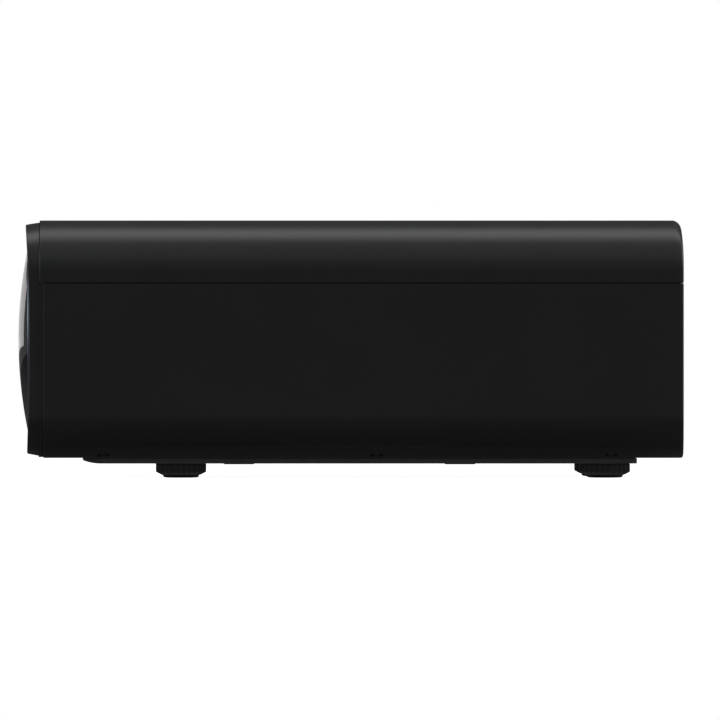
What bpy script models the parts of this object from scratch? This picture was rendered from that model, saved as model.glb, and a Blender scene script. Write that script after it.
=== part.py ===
"""A home cinema projector as an assembly: one named object for each separate piece.

The lens looks along -Y, the width runs along X and +Z is up. The origin lies on the
floor under the middle of the case. All sizes are in metres.
"""

import math

import bmesh
import bpy
from mathutils import Matrix, Vector

# Overall sizes
OVERALL_LENGTH = 0.4800  # crown of the front lens to the rear edge
CASE_WIDTH = 0.4500
CASE_HEIGHT = 0.1712  # underside of the lower case to the top
GROUND_CLEARANCE = 0.0144  # floor to the underside of the lower case
TOP_COVER_DROP = 0.0450  # top of the case down to the side seam
CASE_WALL = 0.0026
TOP_EDGE_RADIUS = 0.0360
BOTTOM_EDGE_RADIUS = 0.0300
REAR_TOP_RADIUS = 0.0070
REAR_SIDE_RADIUS = 0.0020
EDGE_BREAK = 0.0008
EDGE_STEPS = 7

# Gaps
GAP = 0.0003  # between pieces that touch
RUNNING = 0.0005  # round a piece that moves
BEYOND = 0.0100  # how far a cutting tool reaches past what it cuts

# Front panel
COVER_SETBACK = 0.0160  # lens crown back to the front edge of the top cover
SIDE_SETBACK = 0.0184  # lens crown back to the front edge of the lower case
PANEL_SETBACK = 0.0063  # lens crown back to the face of the panel
PANEL_WALL = 0.0030
PANEL_BACK_INSET = 0.0015
PANEL_FACE_INSET = 0.0030
BAND_INSET = 0.0006
BAND_LAP = 0.0006  # of the band into the panel
BAND_STEP = 0.0002  # of the band inside the rim of the panel
LENS_OPENING_CLEARANCE = 0.0006  # round the lens ring at the limits of its shift
VENT_SLOT_WIDTH = 0.0032
VENT_SLOT_HEIGHT = 0.0900
VENT_SLOT_PITCH = 0.0070
VENT_SLOTS = 13
IR_WINDOW_RADIUS = 0.0050
IR_WINDOW_DEPTH = 0.0040
IR_WINDOW_X = -0.0880
IR_WINDOW_RISE = 0.0200  # above the underside of the case

# Lens
LENS_RADIUS = 0.0685
LENS_CROWN = 0.0072  # how far the glass bulges
LENS_EDGE = 0.0078  # thickness of the glass at its rim
LENS_RING_WALL = 0.0019
LENS_RING_LENGTH = 0.0172
BARREL_HEAD_LENGTH = 0.0086
BARREL_NECK_STEP = 0.0085  # in from the rim of the glass
BARREL_NECK_LENGTH = 0.0110
BARREL_RADIUS = 0.0540
BARREL_LENGTH = 0.0700
BARREL_TAIL_RADIUS = 0.0400
BARREL_TAIL_LENGTH = 0.0300
BARREL_WALL = 0.0050
LENS_BORE_CLEARANCE = 0.0008
LENS_STEPS = 40
SHIELD_CLEARANCE = 0.0013
SHIELD_THICKNESS = 0.0015
SHIELD_SIDE_MARGIN = 0.0170  # beyond its hole
SHIELD_TOP_MARGIN = 0.0070

# Focus and zoom drive
TOOTH_MODULE = 0.0020
RING_WALL = 0.0060  # bore to the roots of the teeth
PINION_TEETH = 12
SECTOR_TEETH = 9  # either side of the middle tooth
RING_LENGTH = 0.0150
RING_FRONT_STEP = 0.0050  # end of the barrel's neck to the focus ring
ARM_SPACE = 0.0070  # between the two rings
ARM_THICKNESS = 0.0040
ARM_HEIGHT = 0.0240
DRIVE_SHAFT_RADIUS = 0.0020
PINION_SHORTER = 0.0010  # than its ring
PINION_CLEARANCE = 0.0008  # to the arm
SHAFT_LAP = 0.0020  # of a shaft into its pinion
DRIVE_MOTOR_RADIUS = 0.0090
DRIVE_MOTOR_LENGTH = 0.0200

# Lens shift
SHIFT_UP = 0.0050  # travel either way
SHIFT_ACROSS = 0.0045  # travel either way
SHIFT_PLATE_THICKNESS = 0.0040
SHIFT_HOLE_CLEARANCE = 0.0010
BASE_MARGINS = (0.0300, 0.0155)  # beyond its hole: to the sides, above
VERTICAL_PLATE_MARGINS = (0.0155, 0.0105)
HORIZONTAL_PLATE_MARGINS = (0.0137, 0.0042)
SCREW_MARGIN = 0.0090  # plate edge to the upright screw
LEVEL_SCREW_MARGIN = 0.0060  # plate edge to the level screw
SCREW_RADIUS = 0.0025
SCREW_STANDOFF = 0.0110  # behind the vertical plate
LUG_SIZE = 0.0120
VERTICAL_SCREW_LENGTH = 0.0920
HORIZONTAL_SCREW_LENGTH = 0.0600
SHIFT_MOTOR_RADIUS = 0.0075
SHIFT_MOTOR_LENGTH = 0.0220

# Inside
CHASSIS_THICKNESS = 0.0015
CHASSIS_MARGIN = 0.0300  # in from the side of the case
CHASSIS_FRONT = 0.0900  # behind the lens crown
CHASSIS_REAR = 0.0350  # ahead of the rear edge
ENGINE_WIDTH = 0.1700
ENGINE_DEPTH = 0.1150
ENGINE_ABOVE_AXIS = 0.0394  # top of the housing above the lens axis
ENGINE_PORT_WALL = 0.0060
ENGINE_PORT_LENGTH = 0.0060
LASER_SIZE = (0.1200, 0.0480, 0.1000)
SINK_SIZE = (0.1500, 0.0500, 0.1200)
SINK_FINS = 13
SINK_FIN_THICKNESS = 0.0020
SINK_BASE_THICKNESS = 0.0060
POWER_SUPPLY_SIZE = (0.0820, 0.2000, 0.0500)
STACK_GAP = 0.0040  # between the blocks that stand in line behind the lens

# Fans
FAN_SIZE = 0.0800
FAN_DEPTH = 0.0250
FAN_BORE_RADIUS = 0.0380
FAN_TIP_CLEARANCE = 0.0015
FAN_HUB_RADIUS = 0.0160
FAN_BLADES = 7
FAN_BLADE_ROOT = 0.0010  # of a blade inside the hub
FAN_BLADE_PITCH = (48, 28)  # degrees, at the root and the tip
FAN_BLADE_CHORD = (0.0170, 0.0210)  # at the root and the tip
FAN_BLADE_THICKNESS = 0.0012
FAN_BLADE_MIDDLE = 0.0095  # behind the front of the fan
FAN_BLADE_SWEEP = 0.35  # radians from root to tip
FAN_CENTRE_X = 0.1450

# Rear panel
REAR_PANEL_SETBACK = 0.0040  # behind the rear edge of the case
REAR_PANEL_THICKNESS = 0.0025
FILTER_WIDTH = 0.1600
FILTER_HEIGHT = 0.0900
FILTER_CENTRE_X = -0.1200
FILTER_RISE = 0.0640  # centre above the underside of the case
FILTER_DEPTH = 0.0100
COVER_THICKNESS = 0.0030
COVER_SLOTS = 9
COVER_SLOT_HEIGHT = 0.0035
COVER_SLOT_MARGIN = 0.0120
SOCKET_WALL = 0.0014
SOCKET_BODY_DEPTH = 0.0175
SOCKET_DEPTH = 0.0120
BOARD_THICKNESS = 0.0016
BOARD_MARGIN = 0.0180  # beyond the middles of the sockets
# name: centre x, centre height above the underside, width and height of the mouth
SOCKETS = {
    "hdmi_socket_1": (0.0400, 0.0800, 0.0152, 0.0056),
    "hdmi_socket_2": (0.0660, 0.0800, 0.0152, 0.0056),
    "usb_socket": (0.0920, 0.0800, 0.0128, 0.0056),
    "lan_socket": (0.1200, 0.0830, 0.0124, 0.0110),
}
INLET_X = 0.1750
INLET_RISE = 0.0350
INLET_MOUTH_WIDTH = 0.0250
INLET_MOUTH_HEIGHT = 0.0170
INLET_WALL = 0.0030
INLET_MOUTH_DEPTH = 0.0160
INLET_PIN_LENGTH = 0.0110
INLET_PIN_ROOT = 0.0010  # in the moulding behind
INLET_PIN_WIDTH = 0.0040
INLET_PIN_THICKNESS = 0.0020
INLET_PIN_SPREAD = 0.0070
INLET_PIN_STEP = 0.0020

# Keys on the left side of the case
KEY_RADIUS = 0.0046
KEY_LENGTH = 0.0095
KEY_RECESS = 0.0002  # face of a key below the side of the case
KEY_TRAVEL = 0.0008
KEY_PITCH = 0.0150
KEY_OUTER_PITCH = 0.0420
KEYS_SETBACK = 0.1200  # ahead of the rear edge
KEYS_RISE = 0.0660  # above the underside of the case

# Bottom plate, feet and case screws
PLATE_THICKNESS = 0.0038
PLATE_WIDTH = 0.3800
PLATE_FRONT = 0.0470  # behind the lens crown
PLATE_REAR = 0.0330  # ahead of the rear edge
PLATE_CORNER = 0.0140
PLATE_LEAD_IN = 0.0022
CEILING_HOLE_RADIUS = 0.0030
CEILING_HOLE_X = 0.1000
CEILING_HOLE_Y = 0.0800
CEILING_BOSS_RADIUS = 0.0110
CEILING_BOSS_HEIGHT = 0.0008
FOOT_X = 0.1550
FOOT_FRONT = 0.1180  # behind the lens crown
FOOT_REAR = 0.0560  # ahead of the rear edge
FOOT_RADIUS = 0.0183
FOOT_FLUTES = 26
FOOT_FLUTE_DEPTH = 0.0009
FOOT_GRIP_LOW = 0.0043
FOOT_BEVEL_LOW = 0.0019
FOOT_BEVEL_MARGIN = 0.0005  # beyond the pad at its low end
PAD_RADIUS = 0.0130
PAD_HEIGHT = 0.0016
PAD_LIP = 0.0008  # its sole narrower than its widest
PAD_BULGE = 0.0006  # height where the pad is widest
PAD_SPIGOT_RADIUS = 0.0060
PAD_SPIGOT_HEIGHT = 0.0016
STUD_RADIUS = 0.0040
STUD_TOP = 0.0260
STUD_ROOT = 0.0020  # in the top of the knob
SCREW_POCKETS = (0.0620, 0.2590, 0.4280)  # behind the lens crown
POCKET_RADIUS = 0.0045
POCKET_DEPTH = 0.0060
POCKET_INSET = 0.0200  # in from the side of the case
BOSS_RADIUS = 0.0075
BOSS_HEIGHT = 0.0120

# Places that follow from the sizes
FRONT = -OVERALL_LENGTH / 2
REAR = OVERALL_LENGTH / 2
SIDE = CASE_WIDTH / 2
CASE_BOTTOM = GROUND_CLEARANCE
CASE_TOP = CASE_BOTTOM + CASE_HEIGHT
SEAM = CASE_TOP - TOP_COVER_DROP
COVER_FRONT = FRONT + COVER_SETBACK
SIDE_FRONT = FRONT + SIDE_SETBACK
PANEL_FACE = FRONT + PANEL_SETBACK
PANEL_BACK = COVER_FRONT - GAP
LENS_Z = CASE_BOTTOM + CASE_HEIGHT / 2
FLOOR_INSIDE = CASE_BOTTOM + CASE_WALL + GAP
CHASSIS_TOP = FLOOR_INSIDE + CHASSIS_THICKNESS
STANDING = CHASSIS_TOP + GAP  # underside of what stands on the chassis
RING_FRONT = FRONT + LENS_CROWN - 0.0009
GLASS_BACK = FRONT + LENS_CROWN + LENS_EDGE
HEAD_FRONT = GLASS_BACK + GAP
NECK_FRONT = HEAD_FRONT + BARREL_HEAD_LENGTH
BODY_FRONT = NECK_FRONT + BARREL_NECK_LENGTH
BODY_BACK = BODY_FRONT + BARREL_LENGTH
TAIL_BACK = BODY_BACK + BARREL_TAIL_LENGTH
FOCUS_FRONT = BODY_FRONT + RING_FRONT_STEP
ZOOM_FRONT = FOCUS_FRONT + RING_LENGTH + ARM_SPACE
ARM_FRONT = FOCUS_FRONT + RING_LENGTH + (ARM_SPACE - ARM_THICKNESS) / 2
SWING = math.hypot(SHIFT_UP, SHIFT_ACROSS)
RING_RADIUS = LENS_RADIUS + GAP + LENS_RING_WALL  # outside of the ring round the glass
BARREL_NECK_RADIUS = LENS_RADIUS - BARREL_NECK_STEP
RING_TEETH = round(2 * (BARREL_RADIUS + RING_WALL + TOOTH_MODULE) / TOOTH_MODULE)
RING_PITCH_RADIUS = TOOTH_MODULE * RING_TEETH / 2
PINION_PITCH_RADIUS = TOOTH_MODULE * PINION_TEETH / 2
PINION_X = RING_PITCH_RADIUS + PINION_PITCH_RADIUS
BASE_FRONT = BODY_BACK - 3 * SHIFT_PLATE_THICKNESS - 3 * RUNNING
VERTICAL_FRONT = BASE_FRONT + SHIFT_PLATE_THICKNESS + RUNNING
HORIZONTAL_FRONT = VERTICAL_FRONT + SHIFT_PLATE_THICKNESS + RUNNING
SHIFT_SCREW_Y = VERTICAL_FRONT + SHIFT_PLATE_THICKNESS + SCREW_STANDOFF
BASE_HOLE_RADIUS = BARREL_RADIUS + SWING + SHIFT_HOLE_CLEARANCE
VERTICAL_HOLE_RADIUS = BARREL_RADIUS + SHIFT_ACROSS + SHIFT_HOLE_CLEARANCE
HORIZONTAL_HOLE_RADIUS = BARREL_RADIUS + GAP
VERTICAL_SCREW_X = VERTICAL_HOLE_RADIUS + VERTICAL_PLATE_MARGINS[0] + SCREW_MARGIN
HORIZONTAL_SCREW_Z = LENS_Z + HORIZONTAL_HOLE_RADIUS + HORIZONTAL_PLATE_MARGINS[1] + LEVEL_SCREW_MARGIN
ENGINE_FRONT = TAIL_BACK + STACK_GAP + ENGINE_PORT_LENGTH
LASER_FRONT = ENGINE_FRONT + ENGINE_DEPTH + STACK_GAP
SINK_FRONT = LASER_FRONT + LASER_SIZE[1] + STACK_GAP
REAR_PANEL_BACK = REAR - REAR_PANEL_SETBACK
REAR_PANEL_FRONT = REAR_PANEL_BACK - REAR_PANEL_THICKNESS
FILTER_Z = CASE_BOTTOM + FILTER_RISE
FILTER_FRONT = REAR_PANEL_BACK - COVER_THICKNESS - GAP - FILTER_DEPTH
PLATE_LOW = CASE_BOTTOM - GAP - PLATE_THICKNESS

COLOURS = {
    # name: (red, green, blue), roughness, metallic
    "case_plastic": ((0.010, 0.010, 0.012), 0.42, 0.0),
    "panel_plastic": ((0.014, 0.014, 0.016), 0.38, 0.0),
    "plate_steel": ((0.030, 0.030, 0.034), 0.45, 0.0),
    "dark_metal": ((0.060, 0.062, 0.068), 0.40, 0.9),
    "bright_metal": ((0.560, 0.570, 0.580), 0.35, 1.0),
    "lens_glass": ((0.120, 0.110, 0.160), 0.04, 0.0),
    "ring_metal": ((0.070, 0.085, 0.110), 0.30, 0.8),
    "board_green": ((0.020, 0.090, 0.050), 0.50, 0.0),
    "foam": ((0.060, 0.060, 0.060), 0.95, 0.0),
    "rubber": ((0.012, 0.012, 0.012), 0.85, 0.0),
    "key_plastic": ((0.018, 0.018, 0.020), 0.35, 0.0),
    "smoked_window": ((0.020, 0.004, 0.005), 0.10, 0.0),
}


def clear_scene():
    for item in list(bpy.data.objects):
        bpy.data.objects.remove(item, do_unlink=True)


def material(name):
    """The Principled material of that name, made the first time it is asked for."""
    if name in bpy.data.materials:
        return bpy.data.materials[name]
    colour, roughness, metallic = COLOURS[name]
    made = bpy.data.materials.new(name)
    made.use_nodes = True
    shader = made.node_tree.nodes["Principled BSDF"]
    shader.inputs["Base Color"].default_value = (*colour, 1.0)
    shader.inputs["Roughness"].default_value = roughness
    shader.inputs["Metallic"].default_value = metallic
    made.diffuse_color = (*colour, 1.0)
    return made


def object_from(bm, name="shape"):
    """A new object from a bmesh, with its faces turned outwards."""
    bmesh.ops.recalc_face_normals(bm, faces=bm.faces)
    mesh = bpy.data.meshes.new(name)
    bm.to_mesh(mesh)
    bm.free()
    made = bpy.data.objects.new(name, mesh)
    bpy.context.scene.collection.objects.link(made)
    return made


def loft(rings):
    """A closed solid through rings of equal length, each a list of (x, y, z) points."""
    bm = bmesh.new()
    rows = [[bm.verts.new(point) for point in ring] for ring in rings]
    count = len(rows[0])
    for lower, upper in zip(rows, rows[1:]):
        for i in range(count):
            j = (i + 1) % count
            bm.faces.new((lower[i], lower[j], upper[j], upper[i]))
    bm.faces.new(rows[0])
    bm.faces.new(rows[-1])
    return object_from(bm)


def box(low, high):
    """A block between two corners."""
    corners = [(low[0], high[0]), (low[1], high[1]), (low[2], high[2])]
    rings = [
        [(corners[0][a], corners[1][b], z) for a, b in ((0, 0), (1, 0), (1, 1), (0, 1))]
        for z in corners[2]
    ]
    return loft(rings)


def block(centre, size):
    """A block of that size round its centre."""
    low = [c - s / 2 for c, s in zip(centre, size)]
    high = [c + s / 2 for c, s in zip(centre, size)]
    return box(low, high)


def place(axis, centre, across, up, along):
    """A point across and up from centre in the plane square to axis, and along it."""
    if axis == "X":
        return (along, centre[1] + across, centre[2] + up)
    if axis == "Y":
        return (centre[0] + across, along, centre[2] + up)
    return (centre[0] + across, centre[1] + up, along)


def circle(radius, steps):
    turns = [2 * math.pi * i / steps for i in range(steps)]
    return [(radius * math.cos(turn), radius * math.sin(turn)) for turn in turns]


def prism(axis, centre, outline, start, end):
    """An outline of (across, up) points carried along an axis from start to end."""
    rings = [[place(axis, centre, a, u, along) for a, u in outline] for along in (start, end)]
    return loft(rings)


def turned(axis, centre, profile, steps=LENS_STEPS):
    """A turned solid: profile lists (along, radius), and its end radii are above zero."""
    rings = [
        [place(axis, centre, a, u, along) for a, u in circle(radius, steps)]
        for along, radius in profile
    ]
    return loft(rings)


def rod(axis, centre, radius, start, end, steps=24):
    return turned(axis, centre, [(start, radius), (end, radius)], steps)


def tube(axis, centre, outer, inner, start, end, steps=LENS_STEPS):
    """A plain ring, bored right through."""
    spare = 0.001
    made = rod(axis, centre, outer, start, end, steps)
    return cut(made, [rod(axis, centre, inner, start - spare, end + spare, steps)])


def combine(target, operation, tools):
    """Joins or cuts target with each tool in turn, keeps the result and removes the tools."""
    for tool in tools:
        modifier = target.modifiers.new(operation.title(), "BOOLEAN")
        modifier.operation = operation
        modifier.object = tool
    graph = bpy.context.evaluated_depsgraph_get()
    graph.update()
    result = bpy.data.meshes.new_from_object(target.evaluated_get(graph))
    target.modifiers.clear()
    spent = target.data
    target.data = result
    bpy.data.meshes.remove(spent)
    for tool in tools:
        bpy.data.objects.remove(tool, do_unlink=True)
    return target


def cut(target, tools):
    return combine(target, "DIFFERENCE", tools)


def join(target, tools):
    return combine(target, "UNION", tools)


def finish(made, name, finish_name, pivot=(0.0, 0.0, 0.0)):
    """Names a piece, gives it its material and puts its origin at pivot."""
    made.name = name
    made.data.name = name
    made.data.transform(Matrix.Translation(-Vector(pivot)))
    made.location = pivot
    made.data.materials.clear()
    made.data.materials.append(material(finish_name))
    made.data.shade_smooth()
    made.data.set_sharp_from_angle(angle=math.radians(32))
    return made


def arc(x, z, radius, first, last, steps=EDGE_STEPS):
    """Points (x, z) on a stretch of a circle, from one angle in degrees to another."""
    turns = [math.radians(first + (last - first) * i / steps) for i in range(steps + 1)]
    return [(x + radius * math.cos(turn), z + radius * math.sin(turn)) for turn in turns]


def upper_outline(inset, base, side_inset=None):
    """The case outline above a height, pulled in by inset, or by side_inset at its sides."""
    half = SIDE - (inset if side_inset is None else side_inset)
    top, radius = CASE_TOP - inset, TOP_EDGE_RADIUS - inset
    right = arc(half - radius, top - radius, radius, 0, 90)
    left = arc(radius - half, top - radius, radius, 90, 180)
    return [(half, base), *right, *left, (-half, base)]


def lower_outline(inset, rim):
    """The case outline below a height, pulled in by inset."""
    half, bottom, radius = SIDE - inset, CASE_BOTTOM + inset, BOTTOM_EDGE_RADIUS - inset
    left = arc(radius - half, bottom + radius, radius, 180, 270)
    right = arc(half - radius, bottom + radius, radius, 270, 360)
    return [(-half, rim), *left, *right, (half, rim)]


def whole_outline(inset):
    """The whole case outline, pulled in by inset."""
    return upper_outline(inset, LENS_Z)[:-1] + lower_outline(inset, LENS_Z)[:-1]


def ring_at(y, outline):
    return [(x, y, z) for x, z in outline]


def rear_inset(y, radius):
    """How far a surface that ends in a rounding of that radius at the rear is pulled in at y."""
    past = max(0.0, y - (REAR - radius))
    return radius - math.sqrt(radius**2 - min(past, radius) ** 2)


def top_cover():
    outer = [
        ring_at(COVER_FRONT, upper_outline(EDGE_BREAK, SEAM)),
        ring_at(COVER_FRONT + EDGE_BREAK, upper_outline(0, SEAM)),
    ]
    for share in (1, 0.6, 0.286, 0.1, 0.03, 0):
        y = REAR - REAR_TOP_RADIUS * share
        drop, draw = rear_inset(y, REAR_TOP_RADIUS), rear_inset(y, REAR_SIDE_RADIUS)
        outer.append(ring_at(y, upper_outline(drop, SEAM, draw)))
    below = SEAM - 0.01
    corner = REAR_TOP_RADIUS / 2
    cavity = [
        ring_at(COVER_FRONT - BEYOND, upper_outline(CASE_WALL, below)),
        ring_at(REAR - CASE_WALL - corner, upper_outline(CASE_WALL, below)),
        ring_at(REAR - CASE_WALL, upper_outline(CASE_WALL + corner, below)),
    ]
    finish(cut(loft(outer), [loft(cavity)]), "top_cover", "case_plastic")


def foot_places():
    """(name, x, y) of each foot."""
    front, rear = FRONT + FOOT_FRONT, REAR - FOOT_REAR
    return [
        ("front_right", FOOT_X, front),
        ("front_left", -FOOT_X, front),
        ("rear_right", FOOT_X, rear),
        ("rear_left", -FOOT_X, rear),
    ]


def key_places():
    """(name, y, z) of each key on the left side."""
    y, z = REAR - KEYS_SETBACK, CASE_BOTTOM + KEYS_RISE
    return [
        ("enter_button", y, z),
        ("up_button", y, z + KEY_PITCH),
        ("down_button", y, z - KEY_PITCH),
        ("left_button", y + KEY_PITCH, z),
        ("right_button", y - KEY_PITCH, z),
        ("power_button", y - KEY_OUTER_PITCH, z),
        ("menu_button", y + KEY_OUTER_PITCH, z),
    ]


def lower_case():
    rim = SEAM - GAP
    outer = [
        ring_at(SIDE_FRONT, lower_outline(EDGE_BREAK, rim)),
        ring_at(SIDE_FRONT + EDGE_BREAK, lower_outline(0, rim)),
    ]
    for share in (1, 0.35, 0.1, 0):
        y = REAR - REAR_SIDE_RADIUS * share
        outer.append(ring_at(y, lower_outline(rear_inset(y, REAR_SIDE_RADIUS), rim)))
    above = rim + 0.01
    cavity = loft([
        ring_at(SIDE_FRONT - BEYOND, lower_outline(CASE_WALL, above)),
        ring_at(REAR + BEYOND, lower_outline(CASE_WALL, above)),
    ])
    pockets = [(side * (SIDE - POCKET_INSET), FRONT + back) for side in (-1, 1) for back in SCREW_POCKETS]
    bosses = [
        rod("Z", (x, y, 0), BOSS_RADIUS, CASE_BOTTOM - 0.005, CASE_BOTTOM + BOSS_HEIGHT, 8)
        for x, y in pockets
    ]
    tools = [cut(cavity, bosses)]
    for x, y in pockets:
        tools.append(rod("Z", (x, y, 0), POCKET_RADIUS, CASE_BOTTOM - BEYOND, CASE_BOTTOM + POCKET_DEPTH, 12))
    for _, x, y in foot_places():
        hole = STUD_RADIUS + RUNNING
        tools.append(rod("Z", (x, y, 0), hole, CASE_BOTTOM - BEYOND, CASE_BOTTOM + BEYOND, 12))
    for _, y, z in key_places():
        hole = KEY_RADIUS + RUNNING
        tools.append(rod("X", (0, y, z), hole, -SIDE - BEYOND, -SIDE + CASE_WALL + 0.001, 14))
    finish(cut(loft(outer), tools), "lower_case", "case_plastic")


def vent_slots():
    """Cutters for the upright slots ahead of the two exhaust fans."""
    cutters = []
    reach = (VENT_SLOTS - 1) / 2
    for side in (-1, 1):
        for i in range(VENT_SLOTS):
            x = side * FAN_CENTRE_X + (i - reach) * VENT_SLOT_PITCH
            size = (VENT_SLOT_WIDTH, 4 * PANEL_WALL, VENT_SLOT_HEIGHT)
            cutters.append(block((x, PANEL_FACE, LENS_Z), size))
    return cutters


def front_panel():
    brow = EDGE_BREAK * 1.5
    panel = loft([
        ring_at(PANEL_BACK, whole_outline(PANEL_BACK_INSET)),
        ring_at(PANEL_FACE + brow, whole_outline(PANEL_FACE_INSET)),
        ring_at(PANEL_FACE, whole_outline(PANEL_FACE_INSET + brow)),
    ])
    hollow = loft([
        ring_at(PANEL_BACK + BEYOND, whole_outline(PANEL_BACK_INSET + PANEL_WALL)),
        ring_at(PANEL_FACE + PANEL_WALL, whole_outline(PANEL_FACE_INSET + PANEL_WALL)),
    ])
    # The steps of the outline cut the corners of a circle, so the radius is let out to match
    reach = (RING_RADIUS + SWING + LENS_OPENING_CLEARANCE) / math.cos(math.pi / LENS_STEPS)
    opening = rod("Y", (0, 0, LENS_Z), reach, PANEL_FACE - BEYOND, PANEL_BACK, LENS_STEPS)
    window = (IR_WINDOW_X, 0, CASE_BOTTOM + IR_WINDOW_RISE)
    hole = rod("Y", window, IR_WINDOW_RADIUS + GAP, PANEL_FACE - BEYOND, PANEL_BACK, 20)
    cut(panel, [hollow, opening, hole, *vent_slots()])
    # The band that closes the joint ahead of the lower case, below the seam
    rim = SEAM - 2 * GAP
    start, end = PANEL_BACK - BAND_LAP, SIDE_FRONT - GAP
    band = loft([ring_at(y, lower_outline(BAND_INSET, rim)) for y in (start, end)])
    inside = PANEL_BACK_INSET + PANEL_WALL - BAND_STEP
    core = loft([
        ring_at(start - BEYOND, lower_outline(inside, rim + BEYOND)),
        ring_at(end + BEYOND, lower_outline(inside, rim + BEYOND)),
    ])
    finish(join(panel, [cut(band, [core])]), "front_panel", "panel_plastic")
    ir_window = rod("Y", window, IR_WINDOW_RADIUS, PANEL_FACE + GAP, PANEL_FACE + IR_WINDOW_DEPTH, 20)
    finish(ir_window, "ir_window", "smoked_window")


def rear_panel():
    plate = loft([
        ring_at(y, lower_outline(CASE_WALL + GAP, SEAM - 2 * GAP))
        for y in (REAR_PANEL_FRONT, REAR_PANEL_BACK)
    ])
    depth = 4 * REAR_PANEL_THICKNESS
    middle = (REAR_PANEL_FRONT + REAR_PANEL_BACK) / 2
    tools = [block((FILTER_CENTRE_X, middle, FILTER_Z), (FILTER_WIDTH, depth, FILTER_HEIGHT))]
    for x, rise, width, height in SOCKETS.values():
        around = 2 * (SOCKET_WALL + GAP)
        tools.append(block((x, middle, CASE_BOTTOM + rise), (width + around, depth, height + around)))
    around = 2 * (INLET_WALL + GAP)
    size = (INLET_MOUTH_WIDTH + around, depth, INLET_MOUTH_HEIGHT + around)
    tools.append(block((INLET_X, middle, CASE_BOTTOM + INLET_RISE), size))
    finish(cut(plate, tools), "rear_panel", "panel_plastic")


def filter_tray():
    """The louvred cover in the rear panel and the foam filter that comes out with it."""
    width, height = FILTER_WIDTH - 2 * RUNNING, FILTER_HEIGHT - 2 * RUNNING
    middle = REAR_PANEL_BACK - COVER_THICKNESS / 2
    cover = block((FILTER_CENTRE_X, middle, FILTER_Z), (width, COVER_THICKNESS, height))
    pitch = (height - COVER_SLOT_MARGIN) / COVER_SLOTS
    slots = []
    for i in range(COVER_SLOTS):
        z = FILTER_Z + (i - (COVER_SLOTS - 1) / 2) * pitch
        size = (width - 2 * COVER_SLOT_MARGIN, 4 * COVER_THICKNESS, COVER_SLOT_HEIGHT)
        slots.append(block((FILTER_CENTRE_X, middle, z), size))
    finish(cut(cover, slots), "filter_cover", "panel_plastic")
    foam = (width - 0.004, FILTER_DEPTH, height - 0.004)
    centre = (FILTER_CENTRE_X, FILTER_FRONT + FILTER_DEPTH / 2, FILTER_Z)
    finish(block(centre, foam), "air_filter", "foam")


def sockets():
    """The sockets on the main board, the board itself and the mains inlet."""
    front = REAR_PANEL_BACK - SOCKET_BODY_DEPTH
    for name, (x, rise, width, height) in SOCKETS.items():
        z = CASE_BOTTOM + rise
        body = block(
            (x, (front + REAR_PANEL_BACK) / 2, z),
            (width + 2 * SOCKET_WALL, SOCKET_BODY_DEPTH, height + 2 * SOCKET_WALL),
        )
        mouth = block((x, REAR_PANEL_BACK, z), (width, 2 * SOCKET_DEPTH, height))
        finish(cut(body, [mouth]), name, "bright_metal")
    places = list(SOCKETS.values())
    low = (places[0][0] - BOARD_MARGIN, front - GAP - BOARD_THICKNESS, STANDING)
    right, rise = places[-1][:2]
    high = (right + BOARD_MARGIN, front - GAP, CASE_BOTTOM + rise + BOARD_MARGIN)
    finish(box(low, high), "main_board", "board_green")

    z = CASE_BOTTOM + INLET_RISE
    deep = REAR_PANEL_BACK - INLET_MOUTH_DEPTH
    back = deep - INLET_WALL
    around = 2 * INLET_WALL
    body = block(
        (INLET_X, (back + REAR_PANEL_BACK) / 2, z),
        (INLET_MOUTH_WIDTH + around, REAR_PANEL_BACK - back, INLET_MOUTH_HEIGHT + around),
    )
    mouth_size = (INLET_MOUTH_WIDTH, 2 * INLET_MOUTH_DEPTH, INLET_MOUTH_HEIGHT)
    cut(body, [block((INLET_X, REAR_PANEL_BACK, z), mouth_size)])
    pins = []
    for step, up in ((-1, -INLET_PIN_STEP), (0, INLET_PIN_STEP), (1, -INLET_PIN_STEP)):
        across, root = step * INLET_PIN_SPREAD, INLET_PIN_ROOT
        centre = (INLET_X + across, deep + (INLET_PIN_LENGTH - root) / 2, z + up)
        pins.append(block(centre, (INLET_PIN_THICKNESS, INLET_PIN_LENGTH + root, INLET_PIN_WIDTH)))
    finish(join(body, pins), "ac_inlet", "panel_plastic")


def keys():
    for name, y, z in key_places():
        face = -SIDE + KEY_RECESS
        key = rod("X", (0, y, z), KEY_RADIUS, face, face + KEY_LENGTH, 14)
        finish(key, name, "key_plastic", (face, y, z))
    board = -SIDE + KEY_RECESS + KEY_LENGTH + 2 * KEY_TRAVEL
    y, z = REAR - KEYS_SETBACK, CASE_BOTTOM + KEYS_RISE
    reach = KEY_OUTER_PITCH + 2 * KEY_RADIUS
    low = (board, y - reach, z - KEY_PITCH - 2 * KEY_RADIUS)
    high = (board + BOARD_THICKNESS, y + reach, z + KEY_PITCH + 2 * KEY_RADIUS)
    finish(box(low, high), "key_board", "board_green")


def rounded_outline(width, length, radius):
    """A rectangle with round corners, centred on zero."""
    across, up, steps = width / 2 - radius, length / 2 - radius, 4
    return (
        arc(across, up, radius, 0, 90, steps)
        + arc(-across, up, radius, 90, 180, steps)
        + arc(-across, -up, radius, 180, 270, steps)
        + arc(across, -up, radius, 270, 360, steps)
    )


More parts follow.
